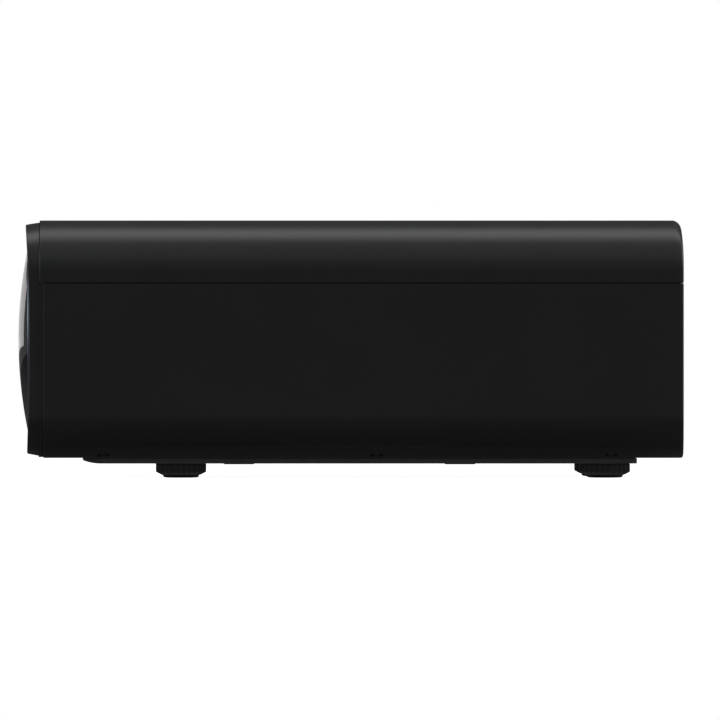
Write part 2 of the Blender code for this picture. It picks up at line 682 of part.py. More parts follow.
def bottom_plate():
    low, high = FRONT + PLATE_FRONT, REAR - PLATE_REAR
    centre = (0, (low + high) / 2, 0)
    rings = []
    for z, inset in ((PLATE_LOW, PLATE_LEAD_IN), (PLATE_LOW + PLATE_LEAD_IN, 0), (CASE_BOTTOM - GAP, 0)):
        outline = rounded_outline(PLATE_WIDTH - 2 * inset, high - low - 2 * inset, PLATE_CORNER - inset)
        rings.append([place("Z", centre, a, u, z) for a, u in outline])
    boss_low, boss_high = PLATE_LOW - CEILING_BOSS_HEIGHT, PLATE_LOW + PLATE_THICKNESS / 2
    bosses, tools = [], []
    for _, x, y in foot_places():
        tools.append(rod("Z", (x, y, 0), STUD_RADIUS + RUNNING, 0, CASE_BOTTOM + GAP, 12))
    for x in (-CEILING_HOLE_X, CEILING_HOLE_X):
        for y in (-CEILING_HOLE_Y, CEILING_HOLE_Y):
            bosses.append(rod("Z", (x, y, 0), CEILING_BOSS_RADIUS, boss_low, boss_high))
            tools.append(rod("Z", (x, y, 0), CEILING_HOLE_RADIUS, 0, CASE_BOTTOM + GAP, 12))
    finish(cut(join(loft(rings), bosses), tools), "bottom_plate", "plate_steel")


def feet():
    """A fluted knob with its stud, and a rubber pad on a swivel, at each corner."""
    points = 2 * FOOT_FLUTES
    flutes = []
    for i in range(points):
        turn = 2 * math.pi * i / points
        radius = FOOT_RADIUS - (FOOT_FLUTE_DEPTH if i % 2 else 0)
        flutes.append((radius * math.cos(turn), radius * math.sin(turn)))
    top = PLATE_LOW - GAP
    recess = PAD_HEIGHT + PAD_SPIGOT_HEIGHT + GAP
    shrink = (PAD_RADIUS + FOOT_BEVEL_MARGIN) / FOOT_RADIUS
    for name, x, y in foot_places():
        centre = (x, y, 0)
        sizes = ((FOOT_BEVEL_LOW, shrink), (FOOT_GRIP_LOW, 1), (top, 1))
        rings = [
            [place("Z", centre, a * size, u * size, z) for a, u in flutes] for z, size in sizes
        ]
        knob = join(loft(rings), [rod("Z", centre, STUD_RADIUS, top - STUD_ROOT, STUD_TOP, 12)])
        cut(knob, [rod("Z", centre, PAD_SPIGOT_RADIUS + RUNNING, 0, recess, 16)])
        finish(knob, "foot_knob_" + name, "key_plastic", centre)
        pad = turned("Z", centre, [
            (0, PAD_RADIUS - PAD_LIP),
            (PAD_BULGE, PAD_RADIUS),
            (PAD_HEIGHT, PAD_RADIUS - 0.0003),
            (PAD_HEIGHT, PAD_SPIGOT_RADIUS),
            (PAD_HEIGHT + PAD_SPIGOT_HEIGHT, PAD_SPIGOT_RADIUS),
        ], 20)
        finish(pad, "foot_pad_" + name, "rubber", centre)


def lens_glass():
    """The front element: a shallow dome of glass with a flat back."""
    radius = (LENS_RADIUS**2 + LENS_CROWN**2) / (2 * LENS_CROWN)
    rings = 4
    profile = []
    for i in range(1, rings + 1):
        across = LENS_RADIUS * i / rings
        along = FRONT + radius - math.sqrt(radius**2 - across**2)
        profile.append((along, across))
    centre = (0, 0, LENS_Z)
    lens_crown = turned("Y", centre, [(FRONT, 0.0005), *profile, (GLASS_BACK, LENS_RADIUS)])
    finish(lens_crown, "front_lens", "lens_glass", (0, FRONT, LENS_Z))
    clear = LENS_BORE_CLEARANCE
    inner = BARREL_RADIUS - BARREL_WALL - clear
    group = turned("Y", centre, [
        (BODY_FRONT + 0.010, inner * 0.2),
        (BODY_FRONT + 0.013, inner * 0.7),
        (BODY_FRONT + 0.018, inner),
        (BODY_FRONT + 0.028, inner),
    ], 24)
    finish(group, "inner_lens", "lens_glass", (0, BODY_FRONT, LENS_Z))
    tail = BARREL_TAIL_RADIUS - BARREL_WALL - clear
    rear = turned("Y", centre, [
        (TAIL_BACK - 0.014, tail),
        (TAIL_BACK - 0.006, tail),
        (TAIL_BACK - 0.003, tail * 0.7),
        (TAIL_BACK - 0.001, tail * 0.2),
    ], 20)
    finish(rear, "rear_lens", "lens_glass", (0, TAIL_BACK, LENS_Z))


def lens_barrel():
    centre = (0, 0, LENS_Z)
    head = LENS_RADIUS
    outer = turned("Y", centre, [
        (HEAD_FRONT, head),
        (NECK_FRONT, head),
        (NECK_FRONT, BARREL_NECK_RADIUS),
        (BODY_FRONT, BARREL_NECK_RADIUS),
        (BODY_FRONT, BARREL_RADIUS),
        (BODY_BACK, BARREL_RADIUS),
        (BODY_BACK, BARREL_TAIL_RADIUS),
        (TAIL_BACK, BARREL_TAIL_RADIUS),
    ], 32)
    step = BODY_BACK - BARREL_WALL
    bore = turned("Y", centre, [
        (HEAD_FRONT - BEYOND, BARREL_NECK_RADIUS - BARREL_WALL),
        (BODY_FRONT - BARREL_WALL, BARREL_NECK_RADIUS - BARREL_WALL),
        (BODY_FRONT - BARREL_WALL, BARREL_RADIUS - BARREL_WALL),
        (step, BARREL_RADIUS - BARREL_WALL),
        (step, BARREL_TAIL_RADIUS - BARREL_WALL),
        (TAIL_BACK + BEYOND, BARREL_TAIL_RADIUS - BARREL_WALL),
    ], 24)
    # The arm that carries the focus and zoom motors, between the two rings
    reach = PINION_X + DRIVE_MOTOR_RADIUS
    arm = block(
        (0, ARM_FRONT + ARM_THICKNESS / 2, LENS_Z), (2 * reach, ARM_THICKNESS, ARM_HEIGHT)
    )
    shaft_hole = DRIVE_SHAFT_RADIUS + RUNNING
    shafts = [
        rod("Y", (side * PINION_X, 0, LENS_Z), shaft_hole, ARM_FRONT - BEYOND, ARM_FRONT + BEYOND, 12)
        for side in (-1, 1)
    ]
    barrel = cut(join(outer, [arm]), [bore, *shafts])
    finish(barrel, "lens_barrel", "dark_metal", (0, NECK_FRONT, LENS_Z))
    inner = LENS_RADIUS + GAP
    ring = tube("Y", centre, RING_RADIUS, inner, RING_FRONT, RING_FRONT + LENS_RING_LENGTH)
    finish(ring, "lens_ring", "ring_metal", (0, RING_FRONT, LENS_Z))
    shield_front = NECK_FRONT + 0.0020
    opening = BARREL_NECK_RADIUS + SWING + SHIELD_CLEARANCE
    across, up = opening + SHIELD_SIDE_MARGIN, opening + SHIELD_TOP_MARGIN
    shield = box(
        (-across, shield_front, LENS_Z - up), (across, shield_front + SHIELD_THICKNESS, LENS_Z + up)
    )
    hole = rod("Y", centre, opening, shield_front - BEYOND, shield_front + BEYOND, 40)
    finish(cut(shield, [hole]), "dust_shield", "panel_plastic")


def tooth(pitch_radius, teeth, middle):
    """The four outline points of one tooth, with room for the gear it runs with."""
    step = 2 * math.pi / teeth
    root, tip = pitch_radius - TOOTH_MODULE, pitch_radius + 0.75 * TOOTH_MODULE
    corners = ((root, -0.27), (tip, -0.11), (tip, 0.11), (root, 0.27))
    return [
        (radius * math.cos(middle + share * step), radius * math.sin(middle + share * step))
        for radius, share in corners
    ]


def drive_ring(name, front, facing):
    """A ring on the barrel with a stretch of teeth on one side, facing 1 or -1 along X."""
    step = 2 * math.pi / RING_TEETH
    outline = []
    for i in range(-SECTOR_TEETH, SECTOR_TEETH + 1):
        outline += tooth(RING_PITCH_RADIUS, RING_TEETH, i * step)
    first = (SECTOR_TEETH + 1) * step
    plain, root = 20, RING_PITCH_RADIUS - TOOTH_MODULE
    for i in range(plain + 1):
        turn = first + (2 * math.pi - 2 * first) * i / plain
        outline.append((root * math.cos(turn), root * math.sin(turn)))
    outline = [(facing * a, facing * u) for a, u in outline]
    centre = (0, 0, LENS_Z)
    bore = rod("Y", centre, BARREL_RADIUS + RUNNING, front - BEYOND, front + RING_LENGTH + BEYOND, 40)
    ring = cut(prism("Y", centre, outline, front, front + RING_LENGTH), [bore])
    finish(ring, name, "key_plastic", (0, front, LENS_Z))


def pinion(name, side, start, end, shaft_start, shaft_end):
    """A small gear with its shaft, a gap between teeth facing the ring."""
    centre = (side * PINION_X, 0, LENS_Z)
    outline = []
    for i in range(PINION_TEETH):
        turn = (math.pi if side > 0 else 0) + (i + 0.5) * 2 * math.pi / PINION_TEETH
        outline += tooth(PINION_PITCH_RADIUS, PINION_TEETH, turn)
    gear = prism("Y", centre, outline, start, end)
    join(gear, [rod("Y", centre, DRIVE_SHAFT_RADIUS, shaft_start, shaft_end, 12)])
    finish(gear, name, "bright_metal", (centre[0], start, LENS_Z))


def lens_drive():
    drive_ring("focus_ring", FOCUS_FRONT, 1)
    drive_ring("zoom_ring", ZOOM_FRONT, -1)
    arm_back = ARM_FRONT + ARM_THICKNESS
    gear_length = RING_LENGTH - PINION_SHORTER
    focus_start = ARM_FRONT - PINION_CLEARANCE - gear_length
    focus_end = focus_start + gear_length
    pinion("focus_pinion", 1, focus_start, focus_end, focus_start + SHAFT_LAP, arm_back - GAP)
    zoom_start = arm_back + PINION_CLEARANCE
    zoom_end = zoom_start + gear_length
    pinion("zoom_pinion", -1, zoom_start, zoom_end, ARM_FRONT + GAP, zoom_start + SHAFT_LAP)
    for name, side, start in (
        ("focus_motor", 1, arm_back + GAP),
        ("zoom_motor", -1, ARM_FRONT - GAP - DRIVE_MOTOR_LENGTH),
    ):
        centre = (side * PINION_X, 0, LENS_Z)
        motor = rod("Y", centre, DRIVE_MOTOR_RADIUS, start, start + DRIVE_MOTOR_LENGTH, 20)
        finish(motor, name, "bright_metal")


def lens_shift():
    """Base, two sliding plates, their screws and motors: up and down, then across."""
    centre = (0, 0, LENS_Z)
    thick = SHIFT_PLATE_THICKNESS

    def plate(hole_radius, margins, front, low=None):
        across, up = hole_radius + margins[0], hole_radius + margins[1]
        bottom = LENS_Z - up if low is None else low
        made = box((-across, front, bottom), (across, front + thick, LENS_Z + up))
        hole = rod("Y", centre, hole_radius, front - BEYOND, front + thick + BEYOND, 40)
        return made, hole

    # Base: stands on the chassis and carries the vertical motor on a bracket
    motor_low = LENS_Z + VERTICAL_SCREW_LENGTH / 2 + GAP
    motor_middle = motor_low + SHIFT_MOTOR_LENGTH / 2
    base, hole = plate(BASE_HOLE_RADIUS, BASE_MARGINS, BASE_FRONT, STANDING)
    bracket_back = SHIFT_SCREW_Y - SHIFT_MOTOR_RADIUS - GAP
    half_bracket = 0.4 * SHIFT_MOTOR_LENGTH
    bracket = box(
        (VERTICAL_SCREW_X - LUG_SIZE / 2, BASE_FRONT + thick / 2, motor_middle - half_bracket),
        (VERTICAL_SCREW_X + LUG_SIZE / 2, bracket_back, motor_middle + half_bracket),
    )
    finish(cut(join(base, [bracket]), [hole]), "shift_base", "dark_metal")

    # Vertical plate: its lug holds the nut that the upright screw turns in
    upright, hole = plate(VERTICAL_HOLE_RADIUS, VERTICAL_PLATE_MARGINS, VERTICAL_FRONT)
    lug_back = SHIFT_SCREW_Y + LUG_SIZE / 2
    edge = VERTICAL_HOLE_RADIUS + VERTICAL_PLATE_MARGINS[0]
    tab = box(
        (edge - thick, VERTICAL_FRONT, LENS_Z - LUG_SIZE / 2),
        (VERTICAL_SCREW_X + LUG_SIZE / 2, VERTICAL_FRONT + thick, LENS_Z + LUG_SIZE / 2),
    )
    lug = box(
        (VERTICAL_SCREW_X - LUG_SIZE / 2, VERTICAL_FRONT + thick / 2, LENS_Z - LUG_SIZE / 2),
        (VERTICAL_SCREW_X + LUG_SIZE / 2, lug_back, LENS_Z + LUG_SIZE / 2),
    )
    across_low = HORIZONTAL_SCREW_LENGTH / 2 + GAP
    shelf = box(
        (across_low + 0.002, VERTICAL_FRONT + thick / 2, HORIZONTAL_SCREW_Z - 0.004),
        (across_low + SHIFT_MOTOR_LENGTH - 0.002, bracket_back, HORIZONTAL_SCREW_Z + 0.004),
    )
    nut = rod(
        "Z", (VERTICAL_SCREW_X, SHIFT_SCREW_Y, 0), SCREW_RADIUS + RUNNING, LENS_Z - 0.02, LENS_Z + 0.02, 16
    )
    finish(cut(join(upright, [tab, lug, shelf]), [hole, nut]), "vertical_shift_plate", "dark_metal", centre)

    # Horizontal plate: clamped round the barrel
    level, hole = plate(HORIZONTAL_HOLE_RADIUS, HORIZONTAL_PLATE_MARGINS, HORIZONTAL_FRONT)
    lug = box(
        (-LUG_SIZE / 2, HORIZONTAL_FRONT, HORIZONTAL_SCREW_Z - LEVEL_SCREW_MARGIN - 0.003),
        (LUG_SIZE / 2, lug_back, HORIZONTAL_SCREW_Z + LUG_SIZE / 2),
    )
    nut = rod(
        "X", (0, SHIFT_SCREW_Y, HORIZONTAL_SCREW_Z), SCREW_RADIUS + RUNNING, -0.02, 0.02, 16
    )
    finish(cut(join(level, [lug]), [hole, nut]), "horizontal_shift_plate", "dark_metal", centre)

    upright_axis = (VERTICAL_SCREW_X, SHIFT_SCREW_Y, LENS_Z)
    reach = VERTICAL_SCREW_LENGTH / 2
    screw = rod("Z", upright_axis, SCREW_RADIUS, LENS_Z - reach, LENS_Z + reach, 16)
    finish(screw, "vertical_shift_screw", "bright_metal", upright_axis)
    motor = rod("Z", upright_axis, SHIFT_MOTOR_RADIUS, motor_low, motor_low + SHIFT_MOTOR_LENGTH, 20)
    finish(motor, "vertical_shift_motor", "bright_metal")
    level_axis = (0, SHIFT_SCREW_Y, HORIZONTAL_SCREW_Z)
    reach = HORIZONTAL_SCREW_LENGTH / 2
    screw = rod("X", level_axis, SCREW_RADIUS, -reach, reach, 16)
    finish(screw, "horizontal_shift_screw", "bright_metal", level_axis)
    motor = rod("X", level_axis, SHIFT_MOTOR_RADIUS, across_low, across_low + SHIFT_MOTOR_LENGTH, 20)
    finish(motor, "horizontal_shift_motor", "bright_metal")


def standing_block(x, front, size):
    """A block that stands on the chassis, its front face at that place."""
    return block((x, front + size[1] / 2, STANDING + size[2] / 2), size)


def chassis():
    half = SIDE - CHASSIS_MARGIN
    tray = box((-half, FRONT + CHASSIS_FRONT, FLOOR_INSIDE), (half, REAR - CHASSIS_REAR, CHASSIS_TOP))
    holes = [
        rod("Z", (x, y, 0), STUD_RADIUS + RUNNING, FLOOR_INSIDE - BEYOND, CHASSIS_TOP + BEYOND, 12)
        for _, x, y in foot_places()
    ]
    finish(cut(tray, holes), "chassis", "bright_metal")


def light_engine():
    engine = standing_block(
        0, ENGINE_FRONT, (ENGINE_WIDTH, ENGINE_DEPTH, LENS_Z + ENGINE_ABOVE_AXIS - STANDING)
    )
    port_front = ENGINE_FRONT - ENGINE_PORT_LENGTH
    port_radius = BARREL_TAIL_RADIUS + ENGINE_PORT_WALL
    port = rod("Y", (0, 0, LENS_Z), port_radius, port_front, ENGINE_FRONT + 0.002, 32)
    window = rod("Y", (0, 0, LENS_Z), BARREL_TAIL_RADIUS * 0.8, port_front - BEYOND, ENGINE_FRONT + 0.012, 32)
    finish(cut(join(engine, [port]), [window]), "light_engine", "dark_metal")
    finish(standing_block(0, LASER_FRONT, LASER_SIZE), "laser_module", "bright_metal")
    width, depth, height = SINK_SIZE
    back, root = SINK_FRONT + depth, SINK_FRONT + SINK_BASE_THICKNESS
    pitch = (width - SINK_FIN_THICKNESS) / (SINK_FINS - 1)
    comb = [(width / 2, SINK_FRONT), (-width / 2, SINK_FRONT)]
    for i in range(SINK_FINS):
        left = -width / 2 + i * pitch
        right = left + SINK_FIN_THICKNESS
        comb += [(left, back), (right, back)] if i == 0 else [(left, root), (left, back), (right, back)]
        comb += [(right, root)] if i < SINK_FINS - 1 else []
    sink = prism("Z", (0, 0, 0), comb, STANDING, STANDING + height)
    finish(sink, "heat_sink", "bright_metal")
    supply = standing_block(FAN_CENTRE_X, BODY_BACK, POWER_SUPPLY_SIZE)
    clearance = STUD_RADIUS + 4 * RUNNING
    studs = [
        rod("Z", (x, y, 0), clearance, 0, STUD_TOP + 0.004, 16)
        for _, x, y in foot_places() if x > 0
    ]
    finish(cut(supply, studs), "power_supply", "bright_metal")


def blade(centre, front, turn):
    """One fan blade: a thin plate that flattens from root to tip, turned about the hub."""
    rings = []
    stations = 2
    inner = FAN_HUB_RADIUS - FAN_BLADE_ROOT
    outer = FAN_BORE_RADIUS - FAN_TIP_CLEARANCE
    for i in range(stations + 1):
        share = i / stations
        radius = inner + (outer - inner) * share
        pitch = math.radians(FAN_BLADE_PITCH[0] + (FAN_BLADE_PITCH[1] - FAN_BLADE_PITCH[0]) * share)
        half_chord = (FAN_BLADE_CHORD[0] + (FAN_BLADE_CHORD[1] - FAN_BLADE_CHORD[0]) * share) / 2
        half_thick = FAN_BLADE_THICKNESS / 2
        ring = []
        for chord, thick in ((-1, -1), (1, -1), (1, 1), (-1, 1)):
            around = chord * half_chord * math.cos(pitch) - thick * half_thick * math.sin(pitch)
            along = chord * half_chord * math.sin(pitch) + thick * half_thick * math.cos(pitch)
            angle = turn + around / radius + FAN_BLADE_SWEEP * share
            across, up = radius * math.cos(angle), radius * math.sin(angle)
            ring.append(place("Y", centre, across, up, front + FAN_BLADE_MIDDLE + along))
        rings.append(ring)
    return loft(rings)


def fan(suffix, x, front, z):
    """A square frame with a round duct and a rotor that turns about Y inside it."""
    centre = (x, 0, z)
    frame = block((x, front + FAN_DEPTH / 2, z), (FAN_SIZE, FAN_DEPTH, FAN_SIZE))
    cut(frame, [rod("Y", centre, FAN_BORE_RADIUS, front - BEYOND, front + FAN_DEPTH + BEYOND, 28)])
    back = front + FAN_DEPTH
    spokes = [rod("Y", centre, FAN_HUB_RADIUS, back - 0.003, back, 18)]
    for i in range(3):
        turn = math.radians(30 + 60 * i)
        bar = block((x, back - 0.0015, z), (2 * FAN_BORE_RADIUS + 0.002, 0.0022, 0.004))
        there, back_again = Matrix.Translation((x, 0, z)), Matrix.Translation((-x, 0, -z))
        spin = there @ Matrix.Rotation(turn, 4, "Y") @ back_again
        bar.data.transform(spin)
        spokes.append(bar)
    join(frame, spokes)
    finish(frame, "fan_frame_" + suffix, "panel_plastic")
    hub = turned("Y", centre, [
        (front + 0.001, FAN_HUB_RADIUS - 0.0015),
        (front + 0.0025, FAN_HUB_RADIUS),
        (front + 0.0200, FAN_HUB_RADIUS),
    ], 21)
    blades = [blade(centre, front, 2 * math.pi * i / FAN_BLADES) for i in range(FAN_BLADES)]
    finish(join(hub, blades), "fan_rotor_" + suffix, "key_plastic", (x, front + 0.010, z))


clear_scene()
top_cover()
lower_case()
front_panel()
rear_panel()
filter_tray()
sockets()
keys()
bottom_plate()
feet()
lens_glass()
lens_barrel()
lens_drive()
lens_shift()
chassis()
light_engine()
fan("right", FAN_CENTRE_X, SIDE_FRONT + GAP, LENS_Z)
fan("left", -FAN_CENTRE_X, SIDE_FRONT + GAP, LENS_Z)
fan("intake", FILTER_CENTRE_X, FILTER_FRONT - 0.006 - FAN_DEPTH, FILTER_Z)
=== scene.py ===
"""Home cinema projector: its visible surfaces and finishes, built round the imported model.

Everything is in metres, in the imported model's frame. The lens looks along -Y, the width
runs along X, and the object stands on the floor at z = 0.
"""

import math

import bmesh
import bpy
import numpy as np
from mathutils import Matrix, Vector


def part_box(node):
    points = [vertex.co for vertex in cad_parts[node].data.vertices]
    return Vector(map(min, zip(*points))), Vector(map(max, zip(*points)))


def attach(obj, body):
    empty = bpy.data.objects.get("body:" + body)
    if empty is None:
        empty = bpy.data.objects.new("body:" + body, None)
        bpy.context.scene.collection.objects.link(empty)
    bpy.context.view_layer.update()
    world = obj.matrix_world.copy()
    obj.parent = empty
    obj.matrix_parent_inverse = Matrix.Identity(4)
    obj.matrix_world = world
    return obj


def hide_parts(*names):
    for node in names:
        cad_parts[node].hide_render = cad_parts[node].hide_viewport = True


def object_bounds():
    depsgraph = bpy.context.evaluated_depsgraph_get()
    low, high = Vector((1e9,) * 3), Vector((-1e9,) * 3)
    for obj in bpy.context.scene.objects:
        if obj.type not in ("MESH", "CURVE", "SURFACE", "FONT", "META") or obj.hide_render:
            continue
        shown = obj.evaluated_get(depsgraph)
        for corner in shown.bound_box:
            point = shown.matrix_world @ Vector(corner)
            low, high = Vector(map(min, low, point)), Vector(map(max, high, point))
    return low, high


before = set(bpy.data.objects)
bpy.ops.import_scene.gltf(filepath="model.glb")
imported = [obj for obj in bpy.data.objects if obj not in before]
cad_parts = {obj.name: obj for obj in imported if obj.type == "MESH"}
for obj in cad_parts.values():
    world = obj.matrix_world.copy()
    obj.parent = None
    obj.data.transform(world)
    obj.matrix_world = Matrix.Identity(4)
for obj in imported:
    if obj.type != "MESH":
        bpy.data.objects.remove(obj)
cad_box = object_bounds()

# ---- Studio
# A pale floor under white surroundings. A long soft lamp hangs overhead, others hang on the
# near side, ahead and behind, a low strip lights the far side for the front glass, and one
# below stands for the light that a pale table throws back up.
FLOOR_SIZE = 14.0
FLOOR_GLOW = 0.92
AMBIENT = 0.25
VIEW_DISTANCE = 24.0  # eye to the near side of the case
VIEW_TURN = 0.35  # degrees from square on, towards the front
VIEW_WIDTH = 0.5184  # seen across the picture at the near side of the case
VIEW_HEIGHT = 0.0850
VIEW_MIDDLE = 0.0068
SENSOR = 36.0
# name: place, turn about X, Y and Z in degrees, width, depth, power
LAMPS = {
    "lamp_overhead": ((0.14, 0.0, 1.55), (0, 0, 0), 0.70, 2.6, 12.5),
    "lamp_near": ((1.5, 0.0, 1.4), (0, 50, 0), 1.2, 2.4, 2.2),
    "lamp_ahead": ((0.35, -2.4, 0.75), (76, 0, 0), 1.6, 0.9, 13.0),
    "lamp_behind": ((0.0, 2.6, 1.1), (-70, 0, 0), 1.8, 1.0, 26.0),
    "lamp_far_strip": ((-3.2, -0.72, 0.175), (90, 0, -90), 1.1, 0.185, 0.36),
    "lamp_below": ((0.6, 0.0, -1.2), (180, 0, 0), 2.4, 2.4, 14.0),
}


def add(tree, kind, **values):
    """A node of that kind, with its properties, or its inputs by their names, set."""
    made = tree.nodes.new(kind)
    for name, value in values.items():
        socket = made.inputs.get(name.replace("_", " "))
        if hasattr(made, name):
            setattr(made, name, value)
        else:
            socket.default_value = value
    return made


def wire(tree, *links):
    """Links nodes: each link is (node, its output, the next node, its input)."""
    for start, output, end, entry in links:
        tree.links.new(start.outputs[output], end.inputs[entry])


world = bpy.data.worlds.new("surroundings")
world.use_nodes = True
bpy.context.scene.world = world
sky = world.node_tree
sky.nodes.clear()
seen = add(sky, "ShaderNodeLightPath")
toward = add(sky, "ShaderNodeTexCoord")
across = add(sky, "ShaderNodeSeparateXYZ")
# The room is darker on the far side, so it darkens towards -X
darker = add(sky, "ShaderNodeMapRange", From_Min=-1.0, From_Max=-0.3, To_Min=0.3 * AMBIENT, To_Max=AMBIENT)
dim = add(sky, "ShaderNodeBackground", Color=(0.93, 0.96, 1.0, 1.0))
wire(
    sky, (toward, "Generated", across, 0), (across, "X", darker, "Value"), (darker, 0, dim, "Strength"),
)
white = add(sky, "ShaderNodeBackground", Color=(1.0, 1.0, 1.0, 1.0), Strength=1.0)
sky_mix = add(sky, "ShaderNodeMixShader")
sky_out = add(sky, "ShaderNodeOutputWorld")
wire(
    sky, (seen, "Is Camera Ray", sky_mix, 0), (dim, 0, sky_mix, 1), (white, 0, sky_mix, 2),
    (sky_mix, 0, sky_out, "Surface"),
)

floor_finish = bpy.data.materials.new("floor_paint")
floor_finish.use_nodes = True
tree = floor_finish.node_tree
tree.nodes.clear()
seen = add(tree, "ShaderNodeLightPath")
glow = add(tree, "ShaderNodeEmission", Color=(1.0, 1.0, 1.0, 1.0), Strength=FLOOR_GLOW)
paint = add(tree, "ShaderNodeBsdfDiffuse", Color=(0.9, 0.9, 0.9, 1.0))
lit = add(tree, "ShaderNodeAddShader")
shade = add(tree, "ShaderNodeBsdfDiffuse", Color=(0.12, 0.12, 0.12, 1.0))
by_eye = add(tree, "ShaderNodeMixShader")
side = add(tree, "ShaderNodeNewGeometry")
open_to_light = add(tree, "ShaderNodeMath", operation="MAXIMUM")
clear = add(tree, "ShaderNodeBsdfTransparent")
two_sided = add(tree, "ShaderNodeMixShader")
out = add(tree, "ShaderNodeOutputMaterial")
wire(
    tree, (glow, 0, lit, 0), (paint, 0, lit, 1), (seen, "Is Camera Ray", by_eye, 0),
    (shade, 0, by_eye, 1), (lit, 0, by_eye, 2), (side, "Backfacing", open_to_light, 0),
    (seen, "Is Shadow Ray", open_to_light, 1), (open_to_light, 0, two_sided, 0),
    (by_eye, 0, two_sided, 1), (clear, 0, two_sided, 2), (two_sided, 0, out, "Surface"),
)

reach = FLOOR_SIZE / 2
floor_mesh = bpy.data.meshes.new("floor")
corners = [(-reach, -reach, 0), (reach, -reach, 0), (reach, reach, 0), (-reach, reach, 0)]
floor_mesh.from_pydata(corners, [], [(0, 1, 2, 3)])
floor_mesh.materials.append(floor_finish)
floor = bpy.data.objects.new("floor", floor_mesh)
bpy.context.scene.collection.objects.link(floor)

for name, (place, turn, width, depth, power) in LAMPS.items():
    lamp = bpy.data.lights.new(name, "AREA")
    lamp.shape = "RECTANGLE"
    lamp.size = width
    lamp.size_y = depth
    lamp.energy = power
    held = bpy.data.objects.new(name, lamp)
    held.location = place
    held.rotation_euler = [math.radians(angle) for angle in turn]
    held.visible_camera = False
    bpy.context.scene.collection.objects.link(held)

camera = bpy.data.cameras.new("camera")
camera.sensor_width = SENSOR
camera.lens = SENSOR * VIEW_DISTANCE / VIEW_WIDTH
camera.clip_end = 50.0
eye = bpy.data.objects.new("camera", camera)
away, ahead = math.cos(math.radians(VIEW_TURN)), math.sin(math.radians(VIEW_TURN))
eye.location = (cad_box[1].x + VIEW_DISTANCE * away, VIEW_MIDDLE - VIEW_DISTANCE * ahead, VIEW_HEIGHT)
eye.rotation_euler = (math.radians(90), 0, math.radians(90 - VIEW_TURN))
bpy.context.scene.collection.objects.link(eye)
bpy.context.scene.camera = eye
bpy.context.scene.view_settings.view_transform = "Standard"

# ---- Top cover
# One arched injection moulding in satin black plastic, 2.6 mm thick, with a large rounding
# along both sides and a spark-eroded texture. It hooks over the lower case at the seam.
cover_low, cover_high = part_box("top_cover")
SIDE, CASE_TOP, SEAM, REAR = cover_high.x, cover_high.z, cover_low.z, cover_high.y
WALL = 0.0026
TOP_EDGE_RADIUS = 0.0360
REAR_TOP_RADIUS = 0.0062
REAR_SIDE_RADIUS = 0.0020
REAR_LEAN = 0.0024  # of the top of the rear edge, forwards
REAR_LEAN_HEIGHT = 0.0300
COVER_LIP = 0.0006  # rounding of the front edge
SEAM_RELIEF = 0.0003
CASE_COLOUR = (0.0072, 0.0072, 0.0078, 1.0)
CASE_MOTTLE = (0.0098, 0.0098, 0.0104, 1.0)
DUST_COLOUR = (0.30, 0.29, 0.27, 1.0)


def group(name, inputs, outputs):
    """A shader node group with those (name, kind) sockets, and its input and output nodes."""
    made = bpy.data.node_groups.new(name, "ShaderNodeTree")
    for label, kind in inputs:
        made.interface.new_socket(name=label, in_out="INPUT", socket_type="NodeSocket" + kind)
    for label, kind in outputs:
        made.interface.new_socket(name=label, in_out="OUTPUT", socket_type="NodeSocket" + kind)
    return made, made.nodes.new("NodeGroupInput"), made.nodes.new("NodeGroupOutput")


# Grain: fine noise for the surface height, and slow noise for the shade of the surface
grain, given, results = group(
    "grain", [("Scale", "Float"), ("Mottle Scale", "Float")], [("Height", "Float"), ("Shade", "Float")]
)
where = add(grain, "ShaderNodeTexCoord")
fine = add(grain, "ShaderNodeTexNoise", Detail=3.0, Roughness=0.6)
slow = add(grain, "ShaderNodeTexNoise", Detail=4.0, Roughness=0.55)
for noise, label in ((fine, "Scale"), (slow, "Mottle Scale")):
    wire(grain, (where, "Object", noise, "Vector"), (given, label, noise, "Scale"))
wire(grain, (fine, 0, results, "Height"), (slow, 0, results, "Shade"))

# Edge wear: the surface's own edge attribute, broken up by noise, mixes in a rubbed colour
wear, given, results = group(
    "edge_wear", [("Colour", "Color"), ("Rubbed", "Color"), ("Amount", "Float")],
    [("Colour", "Color"), ("Mask", "Float")]
)
where = add(wear, "ShaderNodeTexCoord")
edge = add(wear, "ShaderNodeAttribute", attribute_name="edge")
patch = add(wear, "ShaderNodeTexNoise", Scale=90.0, Detail=5.0, Roughness=0.7)
patchy = add(wear, "ShaderNodeMapRange", From_Min=0.35, From_Max=0.75)
masked = add(wear, "ShaderNodeMath", operation="MULTIPLY")
scaled = add(wear, "ShaderNodeMath", operation="MULTIPLY")
rub = add(wear, "ShaderNodeMix", data_type="RGBA")
wire(
    wear, (where, "Object", patch, "Vector"), (patch, 0, patchy, "Value"), (edge, "Fac", masked, 0),
    (patchy, 0, masked, 1), (masked, 0, scaled, 0), (given, "Amount", scaled, 1), (scaled, 0, rub, 0),
    (given, "Colour", rub, 6), (given, "Rubbed", rub, 7), (rub, 2, results, "Colour"),
    (scaled, 0, results, "Mask"),
)

